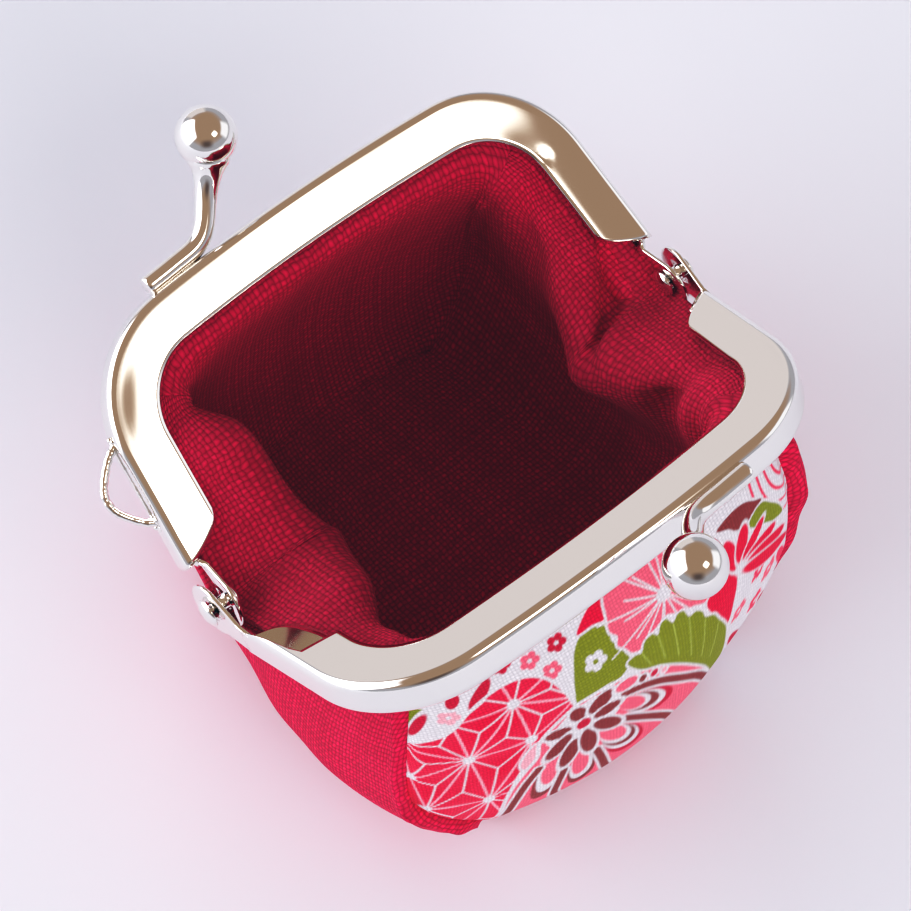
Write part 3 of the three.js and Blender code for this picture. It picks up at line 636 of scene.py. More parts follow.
def make_object(name, points, faces, material, smooth=True):
    mesh = bpy.data.meshes.new(name)
    mesh.from_pydata((np.asarray(points) * MM).tolist(), [], faces)
    mesh.polygons.foreach_set("use_smooth", np.full(len(mesh.polygons), smooth))
    mesh.materials.append(material)
    mesh.update()
    piece = bpy.data.objects.new(name, mesh)
    bpy.context.scene.collection.objects.link(piece)
    return piece


def cell_ring(i, j, across, down):
    """Corners of one coarse cell, with every fine point where it meets the edge of its grid."""
    step = HIDDEN_STEP
    ring = [(n, j) for n in (range(i, i + step) if j == 0 else (i,))]
    ring += [(i + step, n) for n in (range(j, j + step) if i + step == across else (j,))]
    ring += [(n, j + step) for n in (range(i + step, i, -1) if j + step == down else (i + step,))]
    ring += [(i, n) for n in (range(j + step, j, -1) if i == 0 else (j + step,))]
    return ring


def wall(shown, hidden, flip):
    """Closed wall of cloth: a fine face that shows, a coarse one behind it and a rim."""
    across, down = shown.shape[0] - 1, shown.shape[1] - 1
    number = np.arange((across + 1) * (down + 1)).reshape(across + 1, down + 1)
    quads = np.stack([number[:-1, :-1], number[1:, :-1], number[1:, 1:], number[:-1, 1:]], -1)
    kept = np.zeros(number.shape, bool)
    kept[::HIDDEN_STEP, ::HIDDEN_STEP] = True
    kept[[0, -1]] = True
    kept[:, [0, -1]] = True
    behind = np.full(number.shape, -1)
    behind[kept] = number.size + np.arange(kept.sum())
    faces = quads.reshape(-1, 4).tolist()
    for i in range(0, across, HIDDEN_STEP):
        for j in range(0, down, HIDDEN_STEP):
            faces.append([int(behind[c]) for c in reversed(cell_ring(i, j, across, down))])
    border = [(i, 0) for i in range(across)] + [(across, j) for j in range(down)]
    border += [(i, down) for i in range(across, 0, -1)] + [(0, j) for j in range(down, 0, -1)]
    for a, b in zip(border, border[1:] + border[:1]):
        faces.append([int(number[b]), int(number[a]), int(behind[a]), int(behind[b])])
    if flip:
        faces = [face[::-1] for face in faces]
    points = np.concatenate([shown.reshape(-1, 3), hidden[kept]])
    return points, faces, kept


def cloth_piece(name, sheet, show_outer, flip, material):
    inner = sheet.grid + sheet.inward * (CLOTH if show_outer else LINING_CLOTH)
    shown, hidden = (sheet.grid, inner) if show_outer else (inner, sheet.grid)
    points, faces, kept = wall(shown, hidden, flip)
    piece = make_object(name, points, faces, material)
    flat = np.concatenate([sheet.flat.reshape(-1, 2), sheet.flat[kept]])
    flat = np.concatenate([flat, np.zeros((len(flat), 1))], -1)
    attribute = piece.data.attributes.new("flat", "FLOAT_VECTOR", "POINT")
    attribute.data.foreach_set("vector", flat.ravel())
    return piece, flat


def stack(*solids):
    """Several closed meshes as one."""
    points, faces, shift = [], [], 0
    for some_points, some_faces in solids:
        points.append(some_points)
        faces += [[n + shift for n in face] for face in some_faces]
        shift += len(some_points)
    return np.concatenate(points), faces


def tube(route, radii, sides):
    """Closed round tube along a route of points."""
    route = np.asarray(route, float)
    tangent = unit(np.gradient(route, axis=0))
    normal = np.cross(tangent[0], [0.0, 0.0, 1.0])
    if np.linalg.norm(normal) < UPRIGHT_LIMIT:
        normal = np.cross(tangent[0], [1.0, 0.0, 0.0])
    angle = np.linspace(0, 2 * math.pi, sides, endpoint=False)[:, None]
    rings = []
    for point, direction, radius in zip(route, tangent, radii):
        normal = unit(normal - direction * (normal @ direction))
        side = np.cross(direction, normal)
        rings.append(point + radius * (np.cos(angle) * normal + np.sin(angle) * side))
    return lofted(rings)


def ring_faces(count, pairs):
    """Faces between rings of equally many points, for pairs of ring numbers."""
    faces = []
    for a, b in pairs:
        for n in range(count):
            m = (n + 1) % count
            faces.append([a * count + n, a * count + m, b * count + m, b * count + n])
    return faces


def lofted(rings):
    """Closed solid through rings of equally many points."""
    count = len(rings[0])
    last = len(rings) - 1
    first_cap = list(range(count))[::-1]
    last_cap = list(range(last * count, (last + 1) * count))
    sides = ring_faces(count, [(k, k + 1) for k in range(last)])
    return np.concatenate(rings), [first_cap, *sides, last_cap]


def smooth_route(points, steps):
    """Catmull-Rom curve through points."""
    points = np.asarray(points, float)
    padded = np.concatenate([[2 * points[0] - points[1]], points, [2 * points[-1] - points[-2]]])
    route = []
    for n in range(len(points) - 1):
        p0, p1, p2, p3 = padded[n:n + 4]
        for t in np.linspace(0, 1, steps, endpoint=False):
            route.append(0.5 * (2 * p1 + (p2 - p0) * t + (2 * p0 - 5 * p1 + 4 * p2 - p3) * t * t
                                + (3 * p1 - p0 - 3 * p2 + p3) * t ** 3))
    return np.array(route + [points[-1]])


def ball(centre, radius, segments=48, rings=32):
    turn = np.linspace(0, 2 * math.pi, segments, endpoint=False)
    loops = []
    for polar in np.linspace(0, math.pi, rings + 1)[1:-1]:
        away = np.sin(polar)
        loop = np.stack([away * np.cos(turn), away * np.sin(turn), np.full(segments, -np.cos(polar))], -1)
        loops.append(np.asarray(centre) + radius * loop)
    return lofted(loops)


# Metal pieces

def crown_at(inset):
    """How far a flange bulges at an inset: most in its middle."""
    share = inset / FLANGE_WIDTH
    return -FLANGE_CROWN * 4 * share * (1 - share)


def channel_section():
    """Outer and inner line of the folded channel, from lip to lip, as inset and w."""
    flange = np.linspace(FLANGE_WIDTH, ROLLED_EDGE, FLANGE_STEPS + 1)[:-1]
    turn = np.linspace(0, math.pi / 2, ROLL_STEPS + 1)
    roll = np.stack([ROLLED_EDGE * (1 - np.sin(turn)), ROLLED_EDGE * (1 - np.cos(turn))], -1)
    roll[:, 1] += crown_at(ROLLED_EDGE) * np.cos(turn)
    half = np.concatenate([np.stack([flange, crown_at(flange)], -1), roll])
    other_half = (half * [1, -1] + [0, CHANNEL])[::-1]
    web = np.linspace(ROLLED_EDGE, CHANNEL - ROLLED_EDGE, WEB_STEPS + 1)[1:-1]
    outer = np.concatenate([half, np.stack([np.zeros_like(web), web], -1), other_half])
    along = unit(np.gradient(outer, axis=0))
    inner = outer + SHEET * np.stack([along[:, 1], -along[:, 0]], -1)
    return outer, inner


def flange_end(inset, stop):
    """How far above the hinge the inner flange ends, at an inset from the web."""
    if stop > NOTCHED_FROM:
        heights = [LEG_END, LEG_END + NOTCH_RISES[0], stop + NOTCH_RISES[1], stop + END_ROUND]
        return np.interp(inset, [0, *NOTCH_INSETS, FLANGE_WIDTH], heights)
    part = np.clip(inset / FLANGE_WIDTH, 0, 1)
    rounded = np.maximum(0, part - END_ROUND_FROM) / (1 - END_ROUND_FROM)
    return lerp(LEG_END, stop, part ** END_POWER) + END_ROUND * rounded ** 2


def flange_dent(name, side, stations, inset):
    depth = np.zeros_like(inset)
    for dent_name, dent_side, at, middle, along, across, deepest in FLANGE_DENTS:
        if (dent_name, dent_side) == (name, side):
            away = ((stations - at) / along) ** 2 + ((inset - middle) / across) ** 2
            depth += deepest * np.exp(-away)
    return depth


def channel(half):
    """Channel of folded sheet along the whole outline, with shaped ends of its inner flange."""
    outer, inner = channel_section()
    first_lip, last_lip = (lerp(outer[n], inner[n], 0.5) + [LIP_ROUND, 0] for n in (0, -1))
    loop = np.concatenate([outer, [last_lip], inner[::-1], [first_lip]])
    upper = loop[:, 1] < CHANNEL / 2
    inwards = (loop[:, 0] - ROLLED_EDGE).clip(0) / (FLANGE_WIDTH - ROLLED_EDGE)
    rise = half["flange_rise"] * upper * inwards
    low = LEG_END / LEG_RISE
    right = np.concatenate([np.linspace(low, CORNER_FOOT, LEG_STEPS + 1)[:-1],
                            np.linspace(CORNER_FOOT, CORNER_HEAD, CORNER_STEPS + 1)[:-1],
                            np.linspace(CORNER_HEAD, BAR_MIDDLE, BAR_STEPS + 1)])
    rings = []
    for side in (-1, 1):
        stop = half["flange_left"] if side < 0 else half["flange_right"]
        end = np.where(upper, flange_end(loop[:, 0], stop), LEG_END)
        end_station = (end - loop[:, 0] * LEG_INWARD[1]) / LEG_RISE
        run = right if side < 0 else right[:-1][::-1]
        for station in run:
            fade = np.clip((FLANGE_SETTLED - station) / (FLANGE_SETTLED - low), 0, 1)
            stations = station + (end_station - low) * fade
            point, inward = rim(stations)
            place = point + inward * loop[:, :1]
            wave = FLANGE_WAVE * math.sin(FLANGE_TURNS * (BAR_MIDDLE - station) * side + FLANGE_PHASE)
            w = loop[:, 1] + wave * smoothstep(ROLLED_EDGE, FLANGE_WIDTH / 2, loop[:, 0]) - rise
            w = w + upper * flange_dent(half["name"], side, stations, loop[:, 0])
            rings.append(on_half(side * place[:, 0], place[:, 1], w, half["back"]))
    points, faces = lofted(rings)
    caps = end_cap(len(outer))
    last = len(points) - len(loop)
    last_caps = [[n + last for n in face] for face in caps]
    return points, [face[::-1] for face in caps] + faces[1:-1] + last_caps


def end_cap(count):
    """Faces of the cut end of the folded sheet: one between each two steps of its section."""
    inner = [2 * count - n for n in range(count)]
    quads = [[n, n + 1, inner[n + 1], inner[n]] for n in range(count - 1)]
    return quads + [[count - 1, count, inner[-1]], [0, inner[0], 2 * count + 1]]


def hinge_tab(half):
    """Inside of the channel, which shows next to the notched flange."""
    rings = []
    for v, reach in smooth_route(TAB_OUTLINE, TAB_STEPS):
        inset = np.linspace(TAB_ROOT, reach, TAB_POINTS)
        w = TAB_DEPTH + TAB_DROP * inset ** 2
        top = np.stack([inset, w], -1)
        loop = np.concatenate([top, (top + [0, TAB_THICKNESS])[::-1]])
        point, inward = rim(v / LEG_RISE)
        place = point + inward * loop[:, :1]
        rings.append(on_half(place[:, 0], place[:, 1], loop[:, 1], half["back"]))
    return lofted(rings)


def lug_reach(angle):
    """Distance from the pin to the edge of a lug in a direction of its plane."""
    neck = LUG_RADIUS * np.array([math.cos(LUG_NECK_ANGLE), math.sin(LUG_NECK_ANGLE)])
    corners = [neck, (LUG_LENGTH, CHANNEL - SHEET), (LUG_LENGTH, SHEET), (LEG_END, SHEET),
               neck * [1, -1]]
    away = np.array([math.cos(angle), math.sin(angle)])
    for (ax, ay), (bx, by) in zip(corners, corners[1:]):
        area = away[0] * (by - ay) - away[1] * (bx - ax)
        if abs(area) < TINY:
            continue
        reach = (ax * (by - ay) - ay * (bx - ax)) / area
        share = (ax * away[1] - ay * away[0]) / area
        if reach > 0 and -TINY <= share <= 1 + TINY:
            return reach
    return LUG_RADIUS


def lug(side, half):
    """Hinge lug: a plate with a round end and a pin hole, stepped in where it is set back."""
    angles = np.linspace(0, 2 * math.pi, LUG_SEGMENTS, endpoint=False)
    reach = np.array([lug_reach(angle) for angle in angles])
    away = np.stack([np.cos(angles), np.sin(angles)], -1)
    profile = [(0.0, LUG_EDGE), *((share, 0.0) for share in LUG_RINGS), (1.0, LUG_EDGE)]
    profile = profile + [(share, LUG_THICKNESS - depth) for share, depth in reversed(profile)]
    rings = []
    for share, depth in profile:
        drawn_in = LUG_EDGE if depth in (0.0, LUG_THICKNESS) else 0.0
        radius = lerp(PIN_HOLE_RADIUS, reach - drawn_in, share)
        flat = away * radius[:, None]
        inset = half["lug_inset"] * (1 - smoothstep(*LUG_BEND, flat[:, 0]))
        u = HINGE_HALF_WIDTH + LEG_LEAN * flat[:, 0] - inset - (SHEET - LUG_THICKNESS) / 2 - depth
        rings.append(on_half(side * u, flat[:, 0], flat[:, 1], half["back"]))
    pairs = [(k, (k + 1) % len(rings)) for k in range(len(rings))]
    return np.concatenate(rings), ring_faces(LUG_SEGMENTS, pairs)


def clasp(half):
    """Bent stem on the bar with a ball on its end."""
    route = smooth_route(STEM_ROUTE, STEM_STEPS) + [half["clasp_shift"], 0, 0]
    run = np.concatenate([[0], np.cumsum(np.linalg.norm(np.diff(route, axis=0), axis=1))])
    left = run[-1] - run
    neck = np.exp(-((left - NECK_FROM) / NECK_LENGTH).clip(0))
    radii = STEM_RADIUS + (STEM_NECK_RADIUS - STEM_RADIUS) * neck
    first = unit(route[0] - route[1])
    route = np.concatenate([[route[0] + first * STEM_END_OUT], route])
    radii = np.concatenate([[STEM_RADIUS - STEM_END_IN], radii])
    places = on_half(*route.T, half["back"])
    return [tube(places, radii, STEM_SIDES), ball(places[-1], BALL_RADIUS)]


def strap_loop(half):
    """Bent wire soldered on the web of the left leg."""
    middle = CHANNEL / 2
    bent = smooth_route([(u, v, middle) for u, v in LOOP_ROUTE], LOOP_STEPS)
    base = np.linspace(*([u, v, middle] for u, v in LOOP_BASE), LOOP_BASE_STEPS)
    solids = []
    random = np.random.default_rng(LOOP_SEED)
    for route, radius in ((bent, LOOP_WIRE_RADIUS), (base, LOOP_BASE_RADIUS)):
        radii = radius * random.uniform(*LOOP_UNEVEN, len(route))
        solids.append(tube(on_half(*route.T, half["back"]), radii, LOOP_SIDES))
    for end in (LOOP_ROUTE[0], LOOP_ROUTE[-1]):
        for _ in range(SOLDER_DROPS):
            place = [at + random.uniform(-spread, spread)
                     for at, spread in zip((*end, middle), SOLDER_SPREAD)]
            radius = random.uniform(*SOLDER_RADII)
            solids.append(ball(on_half(*place, half["back"]), radius, SOLDER_SEGMENTS, SOLDER_RINGS))
    return solids


def tie(piece, node):
    """Says which solid a piece replaces and the body it rides on."""
    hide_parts(node)
    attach(piece, "root")


def frame_half(half, material):
    solids = [channel(half), lug(-1, half), lug(1, half), *clasp(half)]
    solids += strap_loop(half) if half["loop"] else [hinge_tab(half)]
    piece = make_object(half["name"] + "_dressed", *stack(*solids), material)
    tie(piece, half["name"])


def rivet(word, side, material):
    """Rivet along the hinge axis with a domed head on each side of the lugs."""
    outer_face = HINGE_HALF_WIDTH + RIVET_GAP
    inner_face = HINGE_HALF_WIDTH - LUG_STEP - LUG_THICKNESS - RIVET_GAP
    turn = np.linspace(0, math.pi / 2, RIVET_STEPS + 1)
    head = np.stack([RIVET_HEAD * np.sin(turn), RIVET_DOME * np.cos(turn)], -1)[1:]
    profile = [(r, inner_face - d) for r, d in head]
    profile += [(PIN_RADIUS, inner_face), (PIN_RADIUS, outer_face)]
    profile += [(r, outer_face + d) for r, d in head[::-1]]
    angle = side * np.linspace(0, 2 * math.pi, RIVET_SIDES, endpoint=False)
    y, z = np.cos(angle), np.sin(angle)
    rings = [np.stack([np.full(RIVET_SIDES, side * x), r * y, HINGE_HEIGHT + r * z], -1)
             for r, x in profile]
    piece = make_object("rivet_" + word + "_dressed", *lofted(rings), material)
    tie(piece, "rivet_" + word)


# Materials

def new_material(name):
    material = bpy.data.materials.new(name)
    material.use_nodes = True
    tree = material.node_tree
    return material, tree, tree.nodes["Principled BSDF"]


def add_node(tree, kind, inputs=(), **settings):
    """A node with its settings, its inputs given by place as values or as sockets to link."""
    node = tree.nodes.new(kind)
    for key, value in settings.items():
        setattr(node, key, value)
    for place, value in enumerate(inputs):
        if isinstance(value, bpy.types.NodeSocket):
            tree.links.new(value, node.inputs[place])
        else:
            node.inputs[place].default_value = value
    return node


def maths(tree, operation, *inputs):
    return add_node(tree, "ShaderNodeMath", inputs, operation=operation).outputs[0]


def noise(tree, vector, scale, detail):
    node = add_node(tree, "ShaderNodeTexNoise")
    node.inputs["Scale"].default_value = scale
    node.inputs["Detail"].default_value = detail
    tree.links.new(vector, node.inputs["Vector"])
    return node.outputs["Fac"]


def weave(tree, flat, pitch):
    """Height of a plain weave of uneven yarns, and how near each place is to a warp yarn's crown."""
    parts = add_node(tree, "ShaderNodeSeparateXYZ", [flat])
    yarns = []
    for axis, scale in enumerate(DRIFT_SCALES):
        drift = maths(tree, "MULTIPLY", noise(tree, flat, scale, DRIFT_DETAIL), YARN_DRIFT)
        slub = maths(tree, "MULTIPLY", noise(tree, flat, *SLUB_NOISE), YARN_SLUB)
        turns = maths(tree, "MULTIPLY", parts.outputs[axis], 1 / pitch)
        place = maths(tree, "ADD", maths(tree, "ADD", turns, drift), slub)
        wave = maths(tree, "SINE", maths(tree, "MULTIPLY", place, math.pi))
        number = add_node(tree, "ShaderNodeTexWhiteNoise", noise_dimensions="1D")
        tree.links.new(maths(tree, "FLOOR", place), number.inputs["W"])
        girth = maths(tree, "MULTIPLY_ADD", number.outputs["Value"], YARN_SPREAD, 1 - YARN_SPREAD / 2)
        yarns.append((wave, maths(tree, "MULTIPLY", maths(tree, "ABSOLUTE", wave), girth)))
    (warp_wave, warp), (weft_wave, weft) = yarns
    over = maths(tree, "SIGN", maths(tree, "MULTIPLY", warp_wave, weft_wave))
    crimp = maths(tree, "MULTIPLY", over, YARN_CRIMP)
    warp_top = maths(tree, "MULTIPLY_ADD", crimp, weft, warp)
    weft_top = maths(tree, "SUBTRACT", weft, maths(tree, "MULTIPLY", crimp, warp))
    top = maths(tree, "MAXIMUM", warp_top, weft_top)
    height = maths(tree, "MULTIPLY", top, 1 / (1 + YARN_CRIMP))
    shown = maths(tree, "MULTIPLY_ADD", over, 0.5 - WEFT_CROWN / 2, 0.5 + WEFT_CROWN / 2)
    return height, maths(tree, "MULTIPLY", maths(tree, "MULTIPLY", warp, weft), shown)


def flat_coordinates(tree):
    return add_node(tree, "ShaderNodeAttribute", attribute_name="flat").outputs["Vector"]


def weave_bump(tree, shader, height, depth):
    bump = add_node(tree, "ShaderNodeBump")
    bump.inputs["Strength"].default_value = 1.0
    bump.inputs["Distance"].default_value = depth * MM
    tree.links.new(height, bump.inputs["Height"])
    tree.links.new(bump.outputs["Normal"], shader.inputs["Normal"])


def shaded(tree, crown, colour, dark, light):
    """A colour with painted shade between the yarns and a painted highlight on their crowns: dark and
    light are its strength there and on crowns.
    """
    wide = maths(tree, "POWER", crown, CROWN_WIDTH)
    strength = maths(tree, "MULTIPLY_ADD", wide, light - dark, dark)
    mixed = add_node(tree, "ShaderNodeVectorMath", operation="SCALE")
    tree.links.new(colour, mixed.inputs[0])
    tree.links.new(strength, mixed.inputs["Scale"])
    return mixed.outputs[0]


def blend(tree, share, first, second):
    """A colour between two colours."""
    node = add_node(tree, "ShaderNodeMix", data_type="RGBA")
    tree.links.new(share, node.inputs["Factor"])
    node.inputs[6].default_value = (*first, 1)
    node.inputs[7].default_value = (*second, 1)
    return node.outputs[2]


def uneven_roughness(tree, shader, pattern, roughness):
    rough = maths(tree, "MULTIPLY_ADD", pattern, *roughness)
    tree.links.new(rough, shader.inputs["Roughness"])


def woven(tree, shader, flat, colour, pitch, relief, roughness, painted_yarn_shade):
    """Gives a shader the weave, colour with painted shade and highlight on the yarns, and dull shine of
    cloth.
    """
    height, crown = weave(tree, flat, pitch)
    tree.links.new(shaded(tree, crown, colour, *painted_yarn_shade), shader.inputs["Base Color"])
    uneven_roughness(tree, shader, height, roughness)
    shader.inputs["Specular IOR Level"].default_value = CLOTH_SPECULAR
    shader.inputs["Sheen Weight"].default_value = CLOTH_SHEEN
    weave_bump(tree, shader, height, relief)


def canvas_material(name, painted_yarn_shade):
    material, tree, shader = new_material(name)
    flat = flat_coordinates(tree)
    colour = blend(tree, noise(tree, flat, *WORN_NOISE), CANVAS_RED, CANVAS_WORN)
    woven(tree, shader, flat, colour, CANVAS_PITCH, CANVAS_RELIEF, CANVAS_ROUGHNESS, painted_yarn_shade)
    shader.inputs["Sheen Roughness"].default_value = CANVAS_SHEEN_ROUGHNESS
    shader.inputs["Sheen Tint"].default_value = CANVAS_SHEEN_TINT
    return material


def print_material():
    material, tree, shader = new_material("printed_cotton")
    flat = flat_coordinates(tree)
    colour = add_node(tree, "ShaderNodeAttribute", attribute_name="print").outputs["Color"]
    woven(tree, shader, flat, colour, COTTON_PITCH, COTTON_RELIEF, COTTON_ROUGHNESS, COTTON_PAINTED_YARN_SHADE)
    return material


def nickel_material():
    material, tree, shader = new_material("nickel_plate")
    place = add_node(tree, "ShaderNodeTexCoord").outputs["Object"]
    uneven_roughness(tree, shader, noise(tree, place, *NICKEL_CLOUDS), NICKEL_ROUGHNESS)
    shader.inputs["Metallic"].default_value = 1.0
    shader.inputs["Base Color"].default_value = NICKEL
    return material


# Print, charted on the flat cloth: s across from the middle of the panel, t down it
GAMMA = 2.2


def dye(red, green, blue):
    """A colour of the print as the cloth shows it in plain light, made linear."""
    return (np.array([red, green, blue]) / 255) ** GAMMA


GROUND = dye(226, 221, 226)
RED = dye(231, 19, 74)
ROSE = dye(243, 72, 104)
PINK = dye(246, 112, 132)
PALE = dye(246, 176, 188)
CRIMSON = dye(204, 36, 72)
BROWN = dye(147, 69, 68)
GREEN = dye(140, 146, 40)
LEAF_VEIN = dye(176, 186, 96)
DYE_EDGE = 0.1
OUTLINE = 0.32
MARGIN = 1
CURVE_STEPS = 5
STROKE_STEPS = 6

HEMP_HUBS = {
    "a": (-14.0, 14.7), "b": (-20.2, 22.0), "c": (-13.3, 21.6), "d": (-18.7, 32.8), "e": (-27.0, 24.4),
    "f": (-26.0, 32.6), "g": (-7.6, 18.2), "h": (-20.6, 14.6), "i": (-27.2, 16.8), "j": (-14.8, 7.6),
    "k": (-8.2, 12.6), "l": (-12.0, 30.5), "m": (-23.0, 41.5), "n": (-15.0, 42.0),
}
HEMP_LINE = 0.26
HEMP_SPOKE = 0.24
HEMP_HUB_RADIUS = 0.7
HEMP_OUTLINE = 0.4
HEMP_TONE = 0.4
HEMP_TONE_WAVE = 9.0
HEMP_SEED = 5
HEMP_TRIANGLES = "abc bcd bdf bef bei bhi abh acg agk ajk ahj cdl dfm dmn dln".split()
HEMP_ROUND = [
    (-31, 17.6), (-27, 17.6), (-24.5, 16.9), (-22, 16.4), (-20.2, 15.3), (-18.4, 13.5),
    (-16.4, 12.2), (-14, 11.7), (-11.8, 12.2), (-10.2, 13.6), (-9.1, 15.8), (-8.5, 18),
    (-8.3, 20.1), (-10, 20.7), (-12, 22.2), (-13.4, 24.5), (-15, 27.5), (-16.2, 31), (-16.6, 35),
    (-16, 40), (-15, 46), (-31, 46),
]

FLOWER = [
    (-12.3, 23.2), (-10.8, 21.4), (-8, 19.9), (-5.5, 19.7), (-3.3, 19.9), (-0.5, 20.7), (2.3, 22.6),
    (5, 25.6), (7.2, 29), (8.9, 32.6), (10.2, 36.5), (11, 41), (11, 46), (-15.4, 46), (-16.2, 40),
    (-16.5, 35), (-15.8, 31.5), (-14.4, 28.5), (-12.8, 26),
]
FLOWER_HEART = [
    (-11.9, 23.4), (-10.6, 21.8), (-8.4, 20.2), (-5, 19.9), (-2.6, 22.2), (-2.8, 24.2), (-5, 26),
    (-7.5, 26.5), (-10.2, 26.4),
]
FLOWER_HUB = (-7.4, 23.4)
FLOWER_HUB_RADIUS = 0.85
FLOWER_OUTLINE = 0.55
RIB_WIDTH = 0.95
# Ribs between the petals, from the hub outwards
FLOWER_RIBS = [
    [(-2.4, 22.6), (0, 23.6), (2.5, 25.5), (5, 28.5), (7.2, 31.7), (8.8, 35), (9.9, 38.5), (10.3, 44)],
    [(-2.7, 27.2), (-1, 29), (1, 31.5), (2.8, 34.3), (4, 37), (4.7, 40), (4.6, 45)],
    [(-6, 30.7), (-5.3, 33.5), (-4.6, 36.5), (-3.6, 40), (-2, 45)],
    [(-10, 31.5), (-10.6, 34.5), (-10.6, 37.5), (-9.6, 40.5), (-7.4, 45)],
    [(-12.9, 28.5), (-14.5, 31.5), (-15.5, 35), (-15.6, 38.5), (-14.8, 43)],
]
# Petals as root, tip, half width and colour, painted in this order
FLOWER_PETALS = [
    ((-2.0, 24.5), (3.4, 30.3), 1.9, CRIMSON), ((-2.3, 24.2), (2.5, 29.4), 1.55, GROUND),
    ((-2.5, 24.0), (1.7, 28.5), 1.3, BROWN), ((-2.8, 23.8), (0.6, 27.4), 1.15, GROUND),
    ((-3.0, 23.6), (-0.1, 26.9), 0.95, PINK), ((-4.6, 28.0), (-0.8, 35.6), 2.1, CRIMSON),
    ((-4.8, 27.8), (-1.2, 34.4), 1.8, GROUND), ((-5.0, 27.5), (-1.6, 33.2), 1.6, BROWN),
    ((-5.3, 27.0), (-2.1, 32.2), 1.42, GROUND), ((-5.5, 26.6), (-2.6, 31.2), 1.12, PINK),
    ((-8.0, 30.0), (-7.6, 37.5), 1.7, BROWN), ((-8.0, 29.6), (-7.8, 35.9), 1.42, GROUND),
    ((-8.0, 29.2), (-8.0, 34.5), 1.05, PINK), ((-11.8, 29.0), (-12.8, 36.8), 1.5, BROWN),
    ((-11.7, 28.6), (-12.4, 35.0), 1.25, GROUND), ((-11.6, 28.0), (-12.0, 33.2), 0.95, PINK),
]
FLOWER_INNER = [
    ((-7.3, 22.3), (-8.4, 20.1), 0.95), ((-8.8, 23.2), (-11.9, 22.6), 0.85),
    ((-6.6, 22.2), (-3.7, 20.4), 1.05), ((-6.2, 23.3), (-2.9, 23.3), 0.8),
    ((-9.0, 24.0), (-12.0, 27.3), 0.95), ((-8.4, 25.6), (-10.2, 30.5), 1.0),
    ((-7.2, 24.8), (-6.8, 30.0), 1.0), ((-6.2, 24.5), (-3.1, 27.6), 0.95),
]
FLOWER_BUD = ((-3.3, 21.0), (-0.6, 21.4), 0.8)
FLOWER_DROPS = [
    ((0.0, 22.2), 0.5, BROWN), ((1.45, 22.8), 0.5, CRIMSON), ((2.7, 23.7), 0.4, PALE),
]
PALE_PETAL = [
    (-12.7, 22.9), (-11.8, 23.9), (-12.1, 26), (-13, 27.6), (-14.5, 27.6), (-14.9, 26.3),
    (-13.9, 24),
]

FAN_LEAF = [
    (-1.4, 18.4), (-0.5, 17.9), (0.4, 18.2), (1, 17.1), (2, 16.9), (2.7, 17.7), (3.2, 16.7),
    (4, 16.6), (4.7, 17.9), (5.4, 17.4), (6.2, 17.7), (6.7, 19.2), (7.6, 19.4), (8.4, 20.4),
    (8.7, 21.7), (9.8, 22.8), (10.5, 24.7), (11.2, 26.5), (11.9, 29), (12.2, 33), (11.9, 37),
    (11, 40), (10.2, 36.3), (8.8, 32.2), (7, 28.5), (4.9, 25.2), (2.4, 22.4), (0, 20.6),
]
FAN_VEINS = [
    [(1.2, 21), (0.4, 18.4)], [(3, 22), (2.7, 18)], [(4.7, 23.6), (4.7, 18.2)],
    [(6.3, 25.6), (6.7, 19.5)], [(7.8, 28), (8.6, 21.9)], [(9.4, 31), (10.4, 25)],
]
LOBED_LEAF = [
    (-7.5, 19.6), (-7.6, 17.5), (-7.1, 15), (-6.3, 12.6), (-5.2, 11.3), (-3.6, 10.8), (-2.3, 11.1),
    (-1.9, 12.4), (-2.4, 13.8), (-1.7, 15.2), (-1.4, 16.5), (-1, 18), (-2.2, 19.3), (-4.5, 19.8),
]
VEIN_WIDTH = 0.16
LEAF_BLOSSOM = (-4.6, 15.2)
LEAF_BLOSSOM_REACH = 1.35

DAISY = [
    (-2.2, 12.8), (-1.9, 11), (-1.2, 8.5), (2, 6), (6.5, 6), (9.5, 9), (10.4, 14), (9.9, 18.6),
    (8.9, 19.4), (7.6, 18.4), (6.6, 17.9), (5.4, 17.1), (4.2, 16.1), (2.9, 16.4), (1.6, 16.9),
    (0.6, 17.6), (-0.6, 17.2), (-1.2, 16), (-1.9, 15), (-1.6, 13.9),
]
DAISY_HUB = (4.6, 13.3)
DAISY_HUB_RADIUS = 0.95
# Rays of the daisy: number, width, where they start and end, share of that for every second
# one, and how much and how quickly their angles sway
DAISY_RAYS = 22
DAISY_LINE = 0.22
DAISY_START = 0.8
DAISY_REACH = 8.0
DAISY_SHORT = 0.62
DAISY_SWAY = 0.1
DAISY_SWAY_STEP = 2.4
RED_PETALS = [
    (-5.4, 10.9), (-3.9, 9.3), (-2.5, 8.6), (-0.5, 8.0), (0.2, 9), (-1.2, 10.8), (-2.2, 11.2),
    (-3.6, 10.9),
]

# Blossoms have five round petals: their first angle in turns of one petal, and their place, their
# size and the heart's size in shares of the blossom's reach
BLOSSOM_PETALS = 5
BLOSSOM_TURN = 0.25
PETAL_PLACE = 0.6
PETAL_SIZE = 0.4
HEART_SIZE = 0.2
